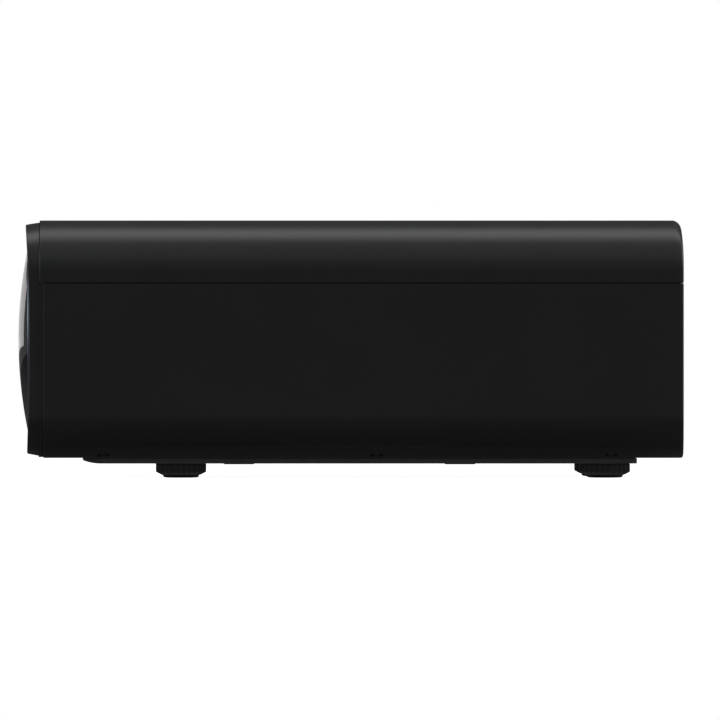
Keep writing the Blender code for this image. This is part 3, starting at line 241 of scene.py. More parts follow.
# Dust: a thin veil on what faces up, in drifts
dust, given, results = group(
    "dust", [("Colour", "Color"), ("Dust Colour", "Color"), ("Amount", "Float")],
    [("Colour", "Color"), ("Mask", "Float")]
)
where = add(dust, "ShaderNodeTexCoord")
facing = add(dust, "ShaderNodeNewGeometry")
upward = add(dust, "ShaderNodeSeparateXYZ")
level = add(dust, "ShaderNodeMapRange", From_Min=0.55, From_Max=1.0)
drift = add(dust, "ShaderNodeTexNoise", Scale=35.0, Detail=8.0, Roughness=0.75)
drifts = add(dust, "ShaderNodeMapRange", From_Min=0.40, From_Max=0.80)
masked = add(dust, "ShaderNodeMath", operation="MULTIPLY")
scaled = add(dust, "ShaderNodeMath", operation="MULTIPLY")
veil = add(dust, "ShaderNodeMix", data_type="RGBA")
wire(
    dust, (facing, "Normal", upward, 0), (upward, "Z", level, "Value"),
    (where, "Object", drift, "Vector"), (drift, 0, drifts, "Value"), (level, 0, masked, 0),
    (drifts, 0, masked, 1), (masked, 0, scaled, 0), (given, "Amount", scaled, 1), (scaled, 0, veil, 0),
    (given, "Colour", veil, 6), (given, "Dust Colour", veil, 7), (veil, 2, results, "Colour"),
    (scaled, 0, results, "Mask"),
)


def use(tree, shared, **values):
    """A shared group placed in a material's tree, with its own values."""
    made = tree.nodes.new("ShaderNodeGroup")
    made.node_tree = shared
    for name, value in values.items():
        made.inputs[name.replace("_", " ")].default_value = value
    return made


def surface(name, colour, mottle, rough, grit, metallic=0.0, worn=None, dusty=0.0, coat=0.0):
    """A Principled finish. Colour goes from colour to mottle and roughness from rough[0] to
    rough[1] with the slow noise, grit is (grain scale, slow noise scale, bump height), worn
    is (rubbed colour, amount), and dusty is how much dust lies on what faces up."""
    made = bpy.data.materials.new(name)
    made.use_nodes = True
    tree = made.node_tree
    shader = tree.nodes["Principled BSDF"]
    shader.inputs["Metallic"].default_value = metallic
    shader.inputs["Coat Weight"].default_value = coat
    skin = use(tree, grain, Scale=grit[0], Mottle_Scale=grit[1])
    spread = add(tree, "ShaderNodeMapRange", From_Min=0.3, From_Max=0.7)
    tint = add(tree, "ShaderNodeMix", data_type="RGBA")
    tint.inputs[6].default_value = colour
    tint.inputs[7].default_value = mottle
    gloss = add(tree, "ShaderNodeMapRange", From_Min=0.0, From_Max=1.0, To_Min=rough[0], To_Max=rough[1])
    bump = add(tree, "ShaderNodeBump", Strength=0.6, Distance=grit[2])
    wire(
        tree, (skin, "Shade", spread, "Value"), (spread, 0, tint, 0), (spread, 0, gloss, "Value"),
        (skin, "Height", bump, "Height"), (bump, 0, shader, "Normal"),
    )
    last = (tint, 2)
    if worn:
        rubbed = use(tree, wear, Rubbed=worn[0], Amount=worn[1])
        wire(tree, (*last, rubbed, "Colour"))
        last = (rubbed, "Colour")
    if dusty:
        settled = use(tree, dust, Dust_Colour=DUST_COLOUR, Amount=dusty)
        wire(tree, (*last, settled, "Colour"))
        last = (settled, "Colour")
        matt = add(tree, "ShaderNodeMath", operation="ADD")
        wire(tree, (gloss, 0, matt, 0), (settled, "Mask", matt, 1), (matt, 0, shader, "Roughness"))
    else:
        wire(tree, (gloss, 0, shader, "Roughness"))
    wire(tree, (*last, shader, "Base Color"))
    return made


def quads(rows, columns, wrap_rows=False, wrap_columns=False):
    """The faces of a grid of points numbered row by row: each point, the one below it, that
    one's neighbour and its own neighbour, with the last joined to the first where it wraps."""
    i = np.arange(rows if wrap_rows else rows - 1)[:, None]
    j = np.arange(columns if wrap_columns else columns - 1)[None, :]
    low, beside = (i + 1) % rows, (j + 1) % columns
    faces = [i * columns + j, low * columns + j, low * columns + beside, i * columns + beside]
    return np.stack(faces, -1).reshape(-1, 4)


def solid(name, points, faces, sharp=32.0, edge=None):
    """A mesh object from points and faces, with an edge mark for each point or row. Doubled
    points are merged, which closes poles and seams, faces are turned outwards, and corners
    sharper than that many degrees stay sharp."""
    mesh = bpy.data.meshes.new(name)
    mesh.from_pydata(np.asarray(points).reshape(-1, 3), [], [list(face) for face in faces])
    if edge is not None:
        marked = mesh.attributes.new("edge", "FLOAT", "POINT")
        edge = np.broadcast_to(np.reshape(edge, (len(points), -1)), np.shape(points)[:-1])
        marked.data.foreach_set("value", edge.astype(np.float32).ravel())
    bm = bmesh.new()
    bm.from_mesh(mesh)
    bmesh.ops.remove_doubles(bm, verts=bm.verts, dist=1e-6)
    bmesh.ops.dissolve_degenerate(bm, edges=bm.edges, dist=1e-7)
    bmesh.ops.recalc_face_normals(bm, faces=bm.faces)
    bm.to_mesh(mesh)
    bm.free()
    mesh.shade_smooth()
    mesh.set_sharp_from_angle(angle=math.radians(sharp))
    made = bpy.data.objects.new(name, mesh)
    bpy.context.scene.collection.objects.link(made)
    return made


def shell(name, outer, inner, closed=False, edge=None):
    """A wall between two grids of the same shape, joined along both end rows, and along both
    side columns unless the rows are closed rings."""
    rows, columns = outer.shape[:2]
    points = np.concatenate([outer, inner[::-1]])
    faces = quads(2 * rows, columns, True, closed).tolist()
    if not closed:
        i = np.arange(rows - 1)
        far = 2 * rows - 1 - i
        for j in (0, columns - 1):
            strip = [i * columns + j, (i + 1) * columns + j, (far - 1) * columns + j, far * columns + j]
            faces += np.stack(strip, 1).tolist()
    if edge is not None:
        edge = np.concatenate([edge, 0 * edge])
    return solid(name, points, faces, edge=edge)


def fit(piece, finish, body, slot, *nodes):
    """Gives a piece its finish, fixes it to its body, and lets it stand for nodes. The slot is not used."""
    piece.data.materials.clear()
    piece.data.materials.append(finish)
    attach(piece, body)
    if nodes:
        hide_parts(*nodes)
    return piece


def dress(finish, nodes):
    """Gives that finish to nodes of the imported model, which show as they are."""
    for node in nodes.split():
        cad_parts[node].data.materials.clear()
        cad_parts[node].data.materials.append(finish)


def rounded(piece, width):
    """Rounds the sharp edges of a piece by that width."""
    bevel = piece.modifiers.new("rounding", "BEVEL")
    bevel.width = width
    bevel.segments = 2
    bevel.limit_method = "ANGLE"
    bevel.angle_limit = math.radians(40.0)
    bevel.harden_normals = False
    return piece


def half_outline(half, level, radius, rim, steps=28):
    """From the rim at the right, straight to a quarter circle of that radius, round it onto
    the level and across to the left by mirroring. Columns of sizes give one row for each."""
    half, level, radius, rim = [
        np.reshape(size, (-1, 1)) + 0 * np.reshape(half, (-1, 1))
        for size in (half, level, radius, rim)
    ]
    turn = np.radians(np.linspace(0, 90, steps))[None, :]
    away = np.sign(level - rim)
    support = 0.0025
    across = [half, half, half - radius + radius * np.cos(turn), half - radius - support]
    up = [rim, level - away * (radius + support), level - away * radius * (1 - np.sin(turn)), level]
    x, z = np.hstack(across), np.hstack(up)
    return np.hstack([x, -x[:, ::-1]]), np.hstack([z, z[:, ::-1]])


def rear_inset(y, radius):
    """How far a rear rounding of that radius pulls the surface in at y: the radius less the
    height of the quarter circle that starts that far ahead of the rear edge."""
    past = np.clip(y - (REAR - radius), 0, radius)
    return radius - np.sqrt(radius**2 - past**2)


def lean(z):
    """The rear edge moves forwards with the square of the height over its straight part."""
    return REAR_LEAN * np.clip((z - CASE_TOP + REAR_LEAN_HEIGHT) / REAR_LEAN_HEIGHT, 0, 1) ** 2


def cover_skin(inset):
    """The arch carried from the front edge to the rear, pulled in there by the rounding, then
    drawn together to the middle of the seam to close the rear end."""
    lip = np.radians(np.linspace(0, 90, 5))
    rear = np.sin(np.radians(np.linspace(0, 90, 12)))
    front_y = cover_low.y + COVER_LIP * (1 - np.cos(lip))
    rear_y = REAR - REAR_TOP_RADIUS * (1 - rear)
    y = np.concatenate([front_y, [cover_low.y + 0.004], np.linspace(-0.18, 0.20, 9), rear_y])
    drawn = np.zeros_like(y)
    if not inset:
        drawn[:5] = COVER_LIP * (1 - np.sin(lip))
    top = inset + drawn + rear_inset(y, REAR_TOP_RADIUS)
    side = inset + drawn + rear_inset(y, REAR_SIDE_RADIUS)
    base = SEAM + SEAM_RELIEF
    x, z = half_outline(SIDE - side, CASE_TOP - top, TOP_EDGE_RADIUS - top, base)
    closing = np.array([0.94, 0.7, 0.35, 0.0])[:, None]
    x = np.vstack([x, closing * x[-1:]])
    z = np.vstack([z, base + closing * (z[-1:] - base)])
    y = np.append(y, np.full(len(closing), REAR))[:, None]
    y = y - lean(z) * np.clip((y - REAR + 0.02) / 0.02, 0, 1)
    y = y - inset * np.clip((y - REAR + 0.03) / 0.03, 0, 1)
    return np.stack([x, y, z], -1)


case_plastic = surface(
    "case_plastic", CASE_COLOUR, CASE_MOTTLE, (0.350, 0.368), (1900, 14, 0.00006),
    worn=((0.05, 0.05, 0.052, 1), 0.5), dusty=0.035
)
outer = cover_skin(0)
edge = np.zeros(len(outer))
edge[:5] = 0.6, 1.0, 1.0, 0.7, 0.0
edge[-16:-4] = 0.7 * np.sin(np.pi * np.linspace(0, 1, 12))
cover = shell("arched_cover", outer, cover_skin(WALL), edge=edge)
fit(rounded(cover, 0.0003), case_plastic, "root", "case_plastic", "top_cover")

# ---- Lower case
# The side walls and floor in one moulding of the same plastic. Round holes on the left take
# the keys, and six pockets underneath take the screws that go up into the top cover.
case_low, case_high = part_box("lower_case")
CASE_BOTTOM = case_low.z
BOTTOM_EDGE_RADIUS = 0.0300
CASE_LIP = 0.0010
POCKET_RADIUS = 0.0045
POCKET_DEPTH = 0.0040
POCKETS = [(side * 0.205, y) for side in (-1, 1) for y in (-0.178, 0.019, 0.188)]
STUD_HOLE_RADIUS = 0.0045
KEY_GAP = 0.0004
KEYS = ("enter", "up", "down", "left", "right", "power", "menu")
FEET = ("front_right", "front_left", "rear_right", "rear_left")


def circle(radius, steps=48):
    """Points (across, up) at even turns: radius times the cosine and the sine."""
    turn = np.linspace(0, 2 * np.pi, steps, endpoint=False)
    return radius * np.stack([np.cos(turn), np.sin(turn)], 1)


AXES = {"X": [2, 0, 1], "Y": [0, 2, 1], "Z": [0, 1, 2]}


def prisms(name, outline, centres, start, end, axis="Y"):
    """An outline of (across, up) points carried straight along an axis from start to end,
    once round each centre, with flat ends."""
    outline, centres = np.asarray(outline, float), np.asarray(centres, float)
    corners, count = len(outline), len(centres)
    flat = np.repeat(centres[:, None, None, :] + outline[None, None], 2, axis=1)
    along = np.broadcast_to(np.reshape([start, end], (1, 2, 1, 1)), (count, 2, corners, 1))
    points = np.concatenate([flat, along], -1)[..., AXES[axis]]
    first = (2 * corners * np.arange(count))[:, None, None]
    sides = (quads(2, corners, False, True)[None] + first).reshape(-1, 4).tolist()
    ring = np.arange(corners)
    ends = (np.stack([ring, ring + corners])[None] + first).reshape(-1, corners).tolist()
    return solid(name, points, sides + ends)


def cut(piece, *tools):
    """Takes the tools away from the piece and keeps the cut mesh."""
    for tool in tools:
        modifier = piece.modifiers.new("cut", "BOOLEAN")
        modifier.operation = "DIFFERENCE"
        modifier.object = tool
    bpy.context.view_layer.update()
    graph = bpy.context.evaluated_depsgraph_get()
    piece.data = bpy.data.meshes.new_from_object(piece.evaluated_get(graph))
    piece.modifiers.clear()
    piece.data.set_sharp_from_angle(angle=math.radians(32))
    for tool in tools:
        bpy.data.objects.remove(tool, do_unlink=True)
    return piece


def case_skin(inset):
    """The lower outline carried from the front edge to the rear, with its edges drawn in."""
    lip = np.radians(np.linspace(0, 90, 6))
    rear = np.sin(np.radians(np.linspace(0, 90, 6)))
    front_y = case_low.y + CASE_LIP * (1 - np.cos(lip))
    rear_y = REAR - REAR_SIDE_RADIUS * (1 - rear)
    y = np.concatenate([front_y, [case_low.y + 0.004], np.linspace(-0.20, 0.22, 15), rear_y])
    drawn = np.zeros_like(y)
    if not inset:
        drawn[:6] = CASE_LIP * (1 - np.sin(lip))
    drawn = inset + drawn + rear_inset(y, REAR_SIDE_RADIUS)
    rim = case_high.z - SEAM_RELIEF
    x, z = half_outline(SIDE - drawn, CASE_BOTTOM + drawn, BOTTOM_EDGE_RADIUS - drawn, rim)
    return np.stack([x, y[:, None] + 0 * x, z], -1)


outer = case_skin(0)
edge = np.zeros(len(outer))
edge[:6] = 0.6, 1.0, 1.0, 1.0, 0.6, 0.0
edge[-6:] = 0.0, 0.4, 0.7, 0.8, 0.8, 0.6
case = shell("lower_case_shell", outer, case_skin(WALL), edge=edge)
key_boxes = {key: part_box(key + "_button") for key in KEYS}
key_centres = {key: (low + high) / 2 for key, (low, high) in key_boxes.items()}
key_radius = (key_boxes["enter"][1].y - key_boxes["enter"][0].y) / 2
foot_boxes = {foot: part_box("foot_pad_" + foot) for foot in FEET}
foot_centres = {foot: (low + high) / 2 for foot, (low, high) in foot_boxes.items()}
key_holes = prisms(
    "key_holes", circle(key_radius + KEY_GAP), [(c.y, c.z) for c in key_centres.values()], -SIDE - 0.01,
    -SIDE + 0.01, "X"
)
pocket_holes = prisms("pocket_holes", circle(POCKET_RADIUS), POCKETS, 0.0, CASE_BOTTOM + POCKET_DEPTH, "Z")
stud_holes = prisms(
    "stud_holes", circle(STUD_HOLE_RADIUS), [(c.x, c.y) for c in foot_centres.values()], 0.0,
    CASE_BOTTOM + 0.01, "Z"
)
cut(case, key_holes, pocket_holes, stud_holes)
fit(case, case_plastic, "root", "case_plastic", "lower_case")

# ---- Front panel
# A separate moulding of slightly glossier black plastic, set in from the case all round and
# dished from top to bottom. It has the lens opening, the exhaust slots and a remote window.
PANEL_BACK = cover_low.y - 0.0003
PANEL_BACK_INSET = 0.0015
PANEL_EDGE_INSET = 0.0030
PANEL_BROW = 0.0010
PANEL_THICKNESS = 0.0030
BAND_INSET = 0.0006
DISH_DEEP = -0.2315  # y of the face at the height of the lens
DISH_RISE = (0.0017, 0.0028)  # how far the lower and upper edges stand forward of that
LENS_OPENING = 0.0783
OPENING_EDGE = 0.0008
VENT_SLOT = (0.0032, 0.0900)
VENT_PITCH = 0.0070
VENTS = 13
FAN_X = 0.1450
WINDOW_PLACE = (-0.0880, 0.0344)
WINDOW_HOLE = 0.0053
PANEL_CUT = (-0.245, -0.212)  # along Y, past both faces
lens_low, lens_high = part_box("front_lens")
LENS_Z = (lens_low.z + lens_high.z) / 2
PANEL_COLOUR = (0.0085, 0.0085, 0.0092, 1.0)
PANEL_MOTTLE = (0.0110, 0.0110, 0.0118, 1.0)


def whole_outline(inset, steps=28):
    """The upper outline from right to left and the lower one back, as one closed ring."""
    above = half_outline(SIDE - inset, CASE_TOP - inset, TOP_EDGE_RADIUS - inset, LENS_Z, steps)
    below = half_outline(SIDE - inset, CASE_BOTTOM + inset, BOTTOM_EDGE_RADIUS - inset, LENS_Z, steps)
    return [np.hstack([up[:, :-1], down[:, :0:-1]]) for up, down in zip(above, below)]


def filled(across, up, spacing=0.005):
    """Closed outlines with more points, at even steps along each side that is longer than the
    spacing in the first outline, and at the same shares of it in the others."""
    ends = np.roll(across, -1, 1), np.roll(up, -1, 1)
    counts = np.ceil(np.hypot(ends[0][0] - across[0], ends[1][0] - up[0]) / spacing).astype(int)
    start = np.repeat(np.arange(len(counts)), counts)
    share = (np.arange(len(start)) - np.repeat(np.cumsum(counts) - counts, counts)) / counts[start]
    return [row[:, start] + share * (end - row)[:, start] for row, end in zip((across, up), ends)]


def dish(z):
    """y of the panel's face: deepest at the lens axis, forward with the square of the height."""
    above = (z - LENS_Z) / (CASE_TOP - LENS_Z)
    rise = np.where(above > 0, DISH_RISE[1], DISH_RISE[0])
    return DISH_DEEP - rise * above**2


def panel_rows(inset_extra, back_y, opening, lift):
    """The side from the back edge, the brow round the face's edge, then the face, which runs
    evenly from its outline to the round opening."""
    turn = np.radians(np.linspace(0, 90, 6))
    inset = [
        PANEL_BACK_INSET, PANEL_EDGE_INSET - 0.0002,
        *(PANEL_EDGE_INSET + PANEL_BROW * (1 - np.cos(turn))), PANEL_EDGE_INSET + PANEL_BROW + 0.001
    ]
    x, z = filled(*whole_outline(np.array(inset) + inset_extra))
    hold = dish(z[2:]) + lift
    y = np.vstack([np.full_like(x[:1], back_y), hold[:1] + PANEL_BROW + 0.0006, hold])
    y[2:8] += PANEL_BROW * (1 - np.sin(turn))[:, None]
    angle = np.arctan2(z[-1] - LENS_Z, x[-1])
    share = np.linspace(0, 1, 15)[1:, None]
    face_x = (1 - share) * x[-1] + share * opening * np.cos(angle)
    face_z = (1 - share) * z[-1] + share * (LENS_Z + opening * np.sin(angle))
    return np.stack([np.vstack([x, face_x]), np.vstack([y, dish(face_z) + lift]), np.vstack([z, face_z])], -1)


front = panel_rows(0, PANEL_BACK, LENS_OPENING + OPENING_EDGE, 0)
turn = np.radians(np.linspace(15, 90, 5))[:, None]
rim_angle = np.arctan2(front[-1, :, 2] - LENS_Z, front[-1, :, 0])
rim_radius = LENS_OPENING + OPENING_EDGE * (1 - np.sin(turn))
rim_x, rim_z = rim_radius * np.cos(rim_angle), LENS_Z + rim_radius * np.sin(rim_angle)
rim_y = dish(rim_z) + OPENING_EDGE * (1 - np.cos(turn))
rim = np.stack([rim_x, rim_y, rim_z], -1)
back = panel_rows(PANEL_THICKNESS, PANEL_BACK, LENS_OPENING, PANEL_THICKNESS)[::-1]
points = np.concatenate([front, rim, back])
edge = np.zeros(len(points))
edge[2:8] = 0.5
panel = solid("dished_panel", points, quads(*points.shape[:2], True, True).tolist(), edge=edge)


def box_outline(width, height, radius, steps=6):
    """A rectangle round zero with a quarter circle at each corner."""
    corner = np.arange(4)[:, None] * 90
    turn = np.radians(corner + np.linspace(0, 90, steps)[None, :])
    middle = np.radians(corner + 45)
    across = np.sign(np.cos(middle)) * (width / 2 - radius) + radius * np.cos(turn)
    up = np.sign(np.sin(middle)) * (height / 2 - radius) + radius * np.sin(turn)
    return np.stack([across.ravel(), up.ravel()], 1)


slot_x = FAN_X + VENT_PITCH * (np.arange(VENTS) - (VENTS - 1) / 2)
slot_x = np.concatenate([-slot_x, slot_x])
slots = prisms(
    "slots", box_outline(*VENT_SLOT, 0.00155), np.stack([slot_x, LENS_Z + 0 * slot_x], 1), *PANEL_CUT
)
window_hole = prisms("window_hole", circle(WINDOW_HOLE), [WINDOW_PLACE], *PANEL_CUT)
cut(panel, slots, window_hole)
panel_plastic = surface(
    "panel_plastic", PANEL_COLOUR, PANEL_MOTTLE, (0.30, 0.36), (2100, 16, 0.00005),
    worn=((0.05, 0.05, 0.052, 1), 0.4), dusty=0.02
)
fit(panel, panel_plastic, "root", "panel_plastic", "front_panel")

# ---- Band behind the front panel
# The panel's flange, which shows as a narrow band between it and the lower case.
band_y = np.array([PANEL_BACK - 0.0004, case_low.y - 0.0003])[:, None]


def band_rows(inset):
    """The lower outline, drawn in a little, between the panel and the lower case."""
    x, z = half_outline(
        np.full(2, SIDE - inset), CASE_BOTTOM + inset, BOTTOM_EDGE_RADIUS - inset, case_high.z - 0.0006
    )
    return np.stack([x, band_y + 0 * x, z], -1)


band = shell("panel_band", band_rows(BAND_INSET), band_rows(BAND_INSET + 0.0024))
fit(band, panel_plastic, "root", "panel_plastic")

# ---- Remote control window
# A small domed disc of dark red plastic, pressed into the front panel from behind.


def turned(name, profile, centre, axis="Y", steps=96, closed=False, **marks):
    """A profile of (along, radius) points turned about an axis through centre. A closed
    profile makes a ring, and any other starts and ends on the axis."""
    along, radius = np.asarray(profile, float).T[:, :, None]
    turn = np.linspace(0, 2 * np.pi, steps, endpoint=False)
    ring = np.stack([radius * np.cos(turn), radius * np.sin(turn), along + 0 * turn], -1)
    points = ring[..., AXES[axis]] + np.asarray(centre, float)
    return solid(name, points, quads(len(along), steps, closed, True).tolist(), **marks)


WINDOW_RADIUS = 0.0050
window_face = float(dish(np.array(WINDOW_PLACE[1]))) - 0.0002
profile = [
    (window_face, 0), (window_face + 0.0001, 0.0030), (window_face + 0.0003, 0.0046),
    (window_face + 0.0007, WINDOW_RADIUS), (window_face + 0.0030, WINDOW_RADIUS),
    (window_face + 0.0030, 0)
]
window = turned("remote_window", profile, (WINDOW_PLACE[0], 0, WINDOW_PLACE[1]), steps=48)
smoked = surface(
    "smoked_window", (0.016, 0.002, 0.003, 1), (0.020, 0.003, 0.004, 1), (0.05, 0.09),
    (300, 40, 0.000004), coat=1.0
)
fit(window, smoked, "root", "smoked_window", "ir_window")

# ---- Seam tongues
# Ribs inside the lower case that stand up behind the seam, along both sides and across the
# rear, so that the cover drops into line and no light passes the joint.
SIDE_RIB = (0.0009, 0.0110)  # thickness and height
REAR_RIB_HEIGHT = 0.0044
REAR_RIB_Z = SEAM + 0.00165
REAR_RIB_IN = 0.0029  # from the side of the case to its end
REAR_TAB = 0.0024
RIB_ROUND = 0.0003
rib_x = SIDE - WALL - 0.0002 - SIDE_RIB[0] / 2
tab_x = SIDE - REAR_RIB_IN - REAR_TAB / 2
# name: size, centres, start and end along Y
RIBS = {
    "seam_tongues": (
        SIDE_RIB, [(-rib_x, SEAM - 0.001), (rib_x, SEAM - 0.001)], case_low.y + 0.0012, REAR - 0.0068
    ),
    "rear_tongue": (
        (2 * SIDE - 2 * REAR_RIB_IN, REAR_RIB_HEIGHT), [(0, REAR_RIB_Z)], REAR - 0.0100, REAR - 0.0022
    ),
    "rear_tabs": (
        (REAR_TAB, REAR_RIB_HEIGHT), [(-tab_x, REAR_RIB_Z), (tab_x, REAR_RIB_Z)], REAR - 0.0024,
        REAR - 0.0004
    ),
}
for name, (size, centres, start, end) in RIBS.items():
    rib = prisms(name, box_outline(*size, RIB_ROUND), centres, start, end)
    fit(rib, case_plastic, "root", "case_plastic")

# ---- Front glass
# The front element of the projection lens: ground glass, flat behind and domed in front,
# with an anti-reflection coating that turns what is left of reflections violet and green.
LENS_RADIUS = (lens_high.x - lens_low.x) / 2
DOME_RISE = 0.0072
GLASS_CHAMFER = 0.0004


def glass(name, tint, film, rough=0.015):
    """Clear glass under a thin film, whose thickness in nanometres sets its hue."""
    made = bpy.data.materials.new(name)
    made.use_nodes = True
    tree = made.node_tree
    shader = tree.nodes["Principled BSDF"]
    shader.inputs["Transmission Weight"].default_value = 1.0
    shader.inputs["Metallic"].default_value = 0.0
    shader.inputs["IOR"].default_value = 1.52
    shader.inputs["Thin Film Thickness"].default_value = film
    shader.inputs["Thin Film IOR"].default_value = 1.7
    skin = use(tree, grain, Scale=60.0, Mottle_Scale=9.0)
    smear = add(tree, "ShaderNodeMapRange", From_Min=0.3, From_Max=0.7, To_Min=rough, To_Max=rough * 2)
    hue = add(tree, "ShaderNodeMix", data_type="RGBA")
    hue.inputs[6].default_value = tint
    hue.inputs[7].default_value = (*(min(1.0, level * 1.06) for level in tint[:3]), 1.0)
    wire(
        tree, (skin, "Shade", smear, "Value"), (smear, 0, shader, "Roughness"), (skin, "Shade", hue, 0),
        (hue, 2, shader, "Base Color"),
    )
    return made


sphere = (LENS_RADIUS**2 + DOME_RISE**2) / (2 * DOME_RISE)
turn = np.linspace(0, math.asin((LENS_RADIUS - GLASS_CHAMFER) / sphere), 40)
dome = np.stack([lens_low.y + sphere * (1 - np.cos(turn)), sphere * np.sin(turn)], 1)
rim_y = lens_low.y + DOME_RISE
flat = [
    (rim_y + 0.0003, LENS_RADIUS), (lens_high.y - 0.0003, LENS_RADIUS),
    (lens_high.y, LENS_RADIUS - 0.0003)
]
rear_face = [(lens_high.y, share * LENS_RADIUS) for share in (0.9, 0.6, 0.3, 0.0)]
front_glass = turned("front_glass", np.array([*dome, *flat, *rear_face]), (0, 0, LENS_Z), steps=160, sharp=25)
coated = glass("coated_glass", (0.93, 0.95, 1.0, 1), 164.0)
fit(front_glass, coated, "lens", "lens_glass", "front_lens")

# ---- Lens ring
# A turned aluminium ring, anodised blue-grey, that clamps the front glass in the barrel. Its
# front edge is chamfered inwards.
ring_low, ring_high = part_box("lens_ring")
RING_OUTER = (ring_high.x - ring_low.x) / 2
RING_INNER = LENS_RADIUS + 0.0003
RING_STAND = 0.0004  # ahead of the rim of the glass
ring_front = rim_y - RING_STAND
profile = [
    (ring_front + 0.0010, RING_INNER), (
        ring_front + 0.0003, RING_INNER + 0.0006
    ), (ring_front, RING_INNER + 0.0009),
    (ring_front, RING_OUTER - 0.0004), (
        ring_front + 0.0003, RING_OUTER - 0.0001
    ), (ring_front + 0.0008, RING_OUTER),
    (ring_high.y - 0.0003, RING_OUTER), (ring_high.y, RING_OUTER - 0.0003), (ring_high.y, RING_INNER),
]
marks = np.zeros(len(profile))
marks[2:5] = 0.8
ring = turned("lens_clamp_ring", profile, (0, 0, LENS_Z), steps=160, closed=True, edge=marks)
ring_metal = surface(
    "ring_metal", (0.16, 0.19, 0.25, 1), (0.19, 0.22, 0.28, 1), (0.28, 0.36), (2600, 30, 0.00002),
    metallic=0.85, worn=((0.35, 0.36, 0.38, 1), 0.35)
)
fit(ring, ring_metal, "lens", "ring_metal", "lens_ring")

# ---- Lens barrel and its retainers
# A black anodised tube that carries three groups of glass. Threaded retainers hold the inner
# groups, and their ridged faces show through the front glass as dark steps.
barrel_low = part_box("lens_barrel")[0]
RETAINERS = {"front_retainer": (0.0006, 0.0590, 0.0655, 5), "rear_retainer": (0.0200, 0.0400, 0.0465, 6)}
dark_metal = surface(
    "dark_metal", (0.020, 0.020, 0.022, 1), (0.028, 0.028, 0.031, 1), (0.40, 0.50), (2600, 25, 0.00001),
    metallic=0.6
)
dress(dark_metal, "lens_barrel shift_base vertical_shift_plate horizontal_shift_plate")
for name, (depth, inner_radius, outer_radius, steps) in RETAINERS.items():
    start = barrel_low.y + depth
    stair = np.repeat(np.arange(steps + 1), 2)
    along = start + 0.0007 * stair[1:-1]
    radius = outer_radius + (inner_radius - outer_radius) * stair[:-2] / steps
    profile = [*np.stack([along, radius], 1), (start + 0.0080, inner_radius), (start + 0.0080, outer_radius)]
    fit(turned(name, profile, (0, 0, LENS_Z), steps=120, closed=True), dark_metal, "lens", "dark_metal")

# ---- Inner and rear lens groups
# Smaller polished elements, flat behind and domed in front, each coated in its own hue.
inner_coat = glass("inner_coating", (0.92, 1.0, 0.94, 1), 320.0)
rear_coat = glass("rear_coating", (1.0, 0.95, 0.92, 1), 230.0)
ELEMENTS = {"inner_lens": ("inner_element", inner_coat, 0.11), "rear_lens": ("rear_element", rear_coat, 0.09)}
for node, (name, coat, ball) in ELEMENTS.items():
    low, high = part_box(node)
    radius = (high.x - low.x) / 2
    swell = ball - math.sqrt(ball**2 - radius**2)
    turn = np.linspace(0, math.asin(radius / ball), 24)
    dome = np.stack([low.y + ball * (1 - np.cos(turn)), ball * np.sin(turn)], 1)
    back = [(max(high.y, low.y + swell + 0.002), share * radius) for share in (1.0, 0.6, 0.3, 0.0)]
    fit(turned(name, [*dome, *back], (0, 0, LENS_Z), steps=96), coat, "lens", "lens_glass", node)

# ---- Focus and zoom drive, shift drive
# Moulded gear rings and pinions, small geared motors in plated cans, and rolled steel screws.
# All of it sits behind the front panel and moves with the lens.
gear_plastic = surface(
    "gear_plastic", (0.014, 0.014, 0.015, 1), (0.020, 0.020, 0.022, 1), (0.40, 0.50),
    (1500, 30, 0.00005)
)
bright_metal = surface(
    "bright_metal", (0.52, 0.53, 0.54, 1), (0.60, 0.61, 0.62, 1), (0.28, 0.42), (1200, 40, 0.00003),
    metallic=1.0
)
screw_steel = surface(
    "screw_steel", (0.42, 0.42, 0.43, 1), (0.50, 0.50, 0.51, 1), (0.25, 0.35), (1800, 60, 0.00002),
    metallic=1.0
)
dress(gear_plastic, "focus_ring zoom_ring focus_pinion zoom_pinion")
dress(bright_metal, "focus_motor zoom_motor vertical_shift_motor horizontal_shift_motor heat_sink")
dress(screw_steel, "vertical_shift_screw horizontal_shift_screw")

# ---- Dust shield
# A sheet of black flock-covered plastic behind the panel, round the moving barrel, which
# hides the inside of the case through the gap round the lens.
flock = surface(
    "flock", (0.0045, 0.0045, 0.0048, 1), (0.007, 0.007, 0.0074, 1), (0.85, 0.95), (700, 60, 0.0003)
)
dress(flock, "dust_shield")

# ---- Exhaust and intake fans
# Bought 80 mm fans: a moulded frame and a seven-bladed rotor in plain black plastic.
fan_plastic = surface(
    "fan_plastic", (0.016, 0.016, 0.017, 1), (0.022, 0.022, 0.024, 1), (0.34, 0.44), (1100, 30, 0.00004)
)
dress(fan_plastic, "fan_frame_right fan_frame_left fan_frame_intake")
dress(fan_plastic, "fan_rotor_right fan_rotor_left fan_rotor_intake")

# ---- Chassis, light engine, laser module, power supply and boards
# A zinc plated tray carries a cast and painted light engine, the laser module with its
# finned sink, a caged power supply, and green circuit boards with printed tracks.
zinc = surface(
    "chassis_steel", (0.40, 0.41, 0.42, 1), (0.48, 0.49, 0.50, 1), (0.35, 0.50), (500, 22, 0.00003),
    metallic=1.0
)
casting = surface(
    "light_engine_casting", (0.15, 0.15, 0.16, 1), (0.20, 0.20, 0.21, 1), (0.50, 0.62),
    (450, 18, 0.00015), metallic=0.3
)
dress(zinc, "chassis")
dress(casting, "light_engine laser_module power_supply")

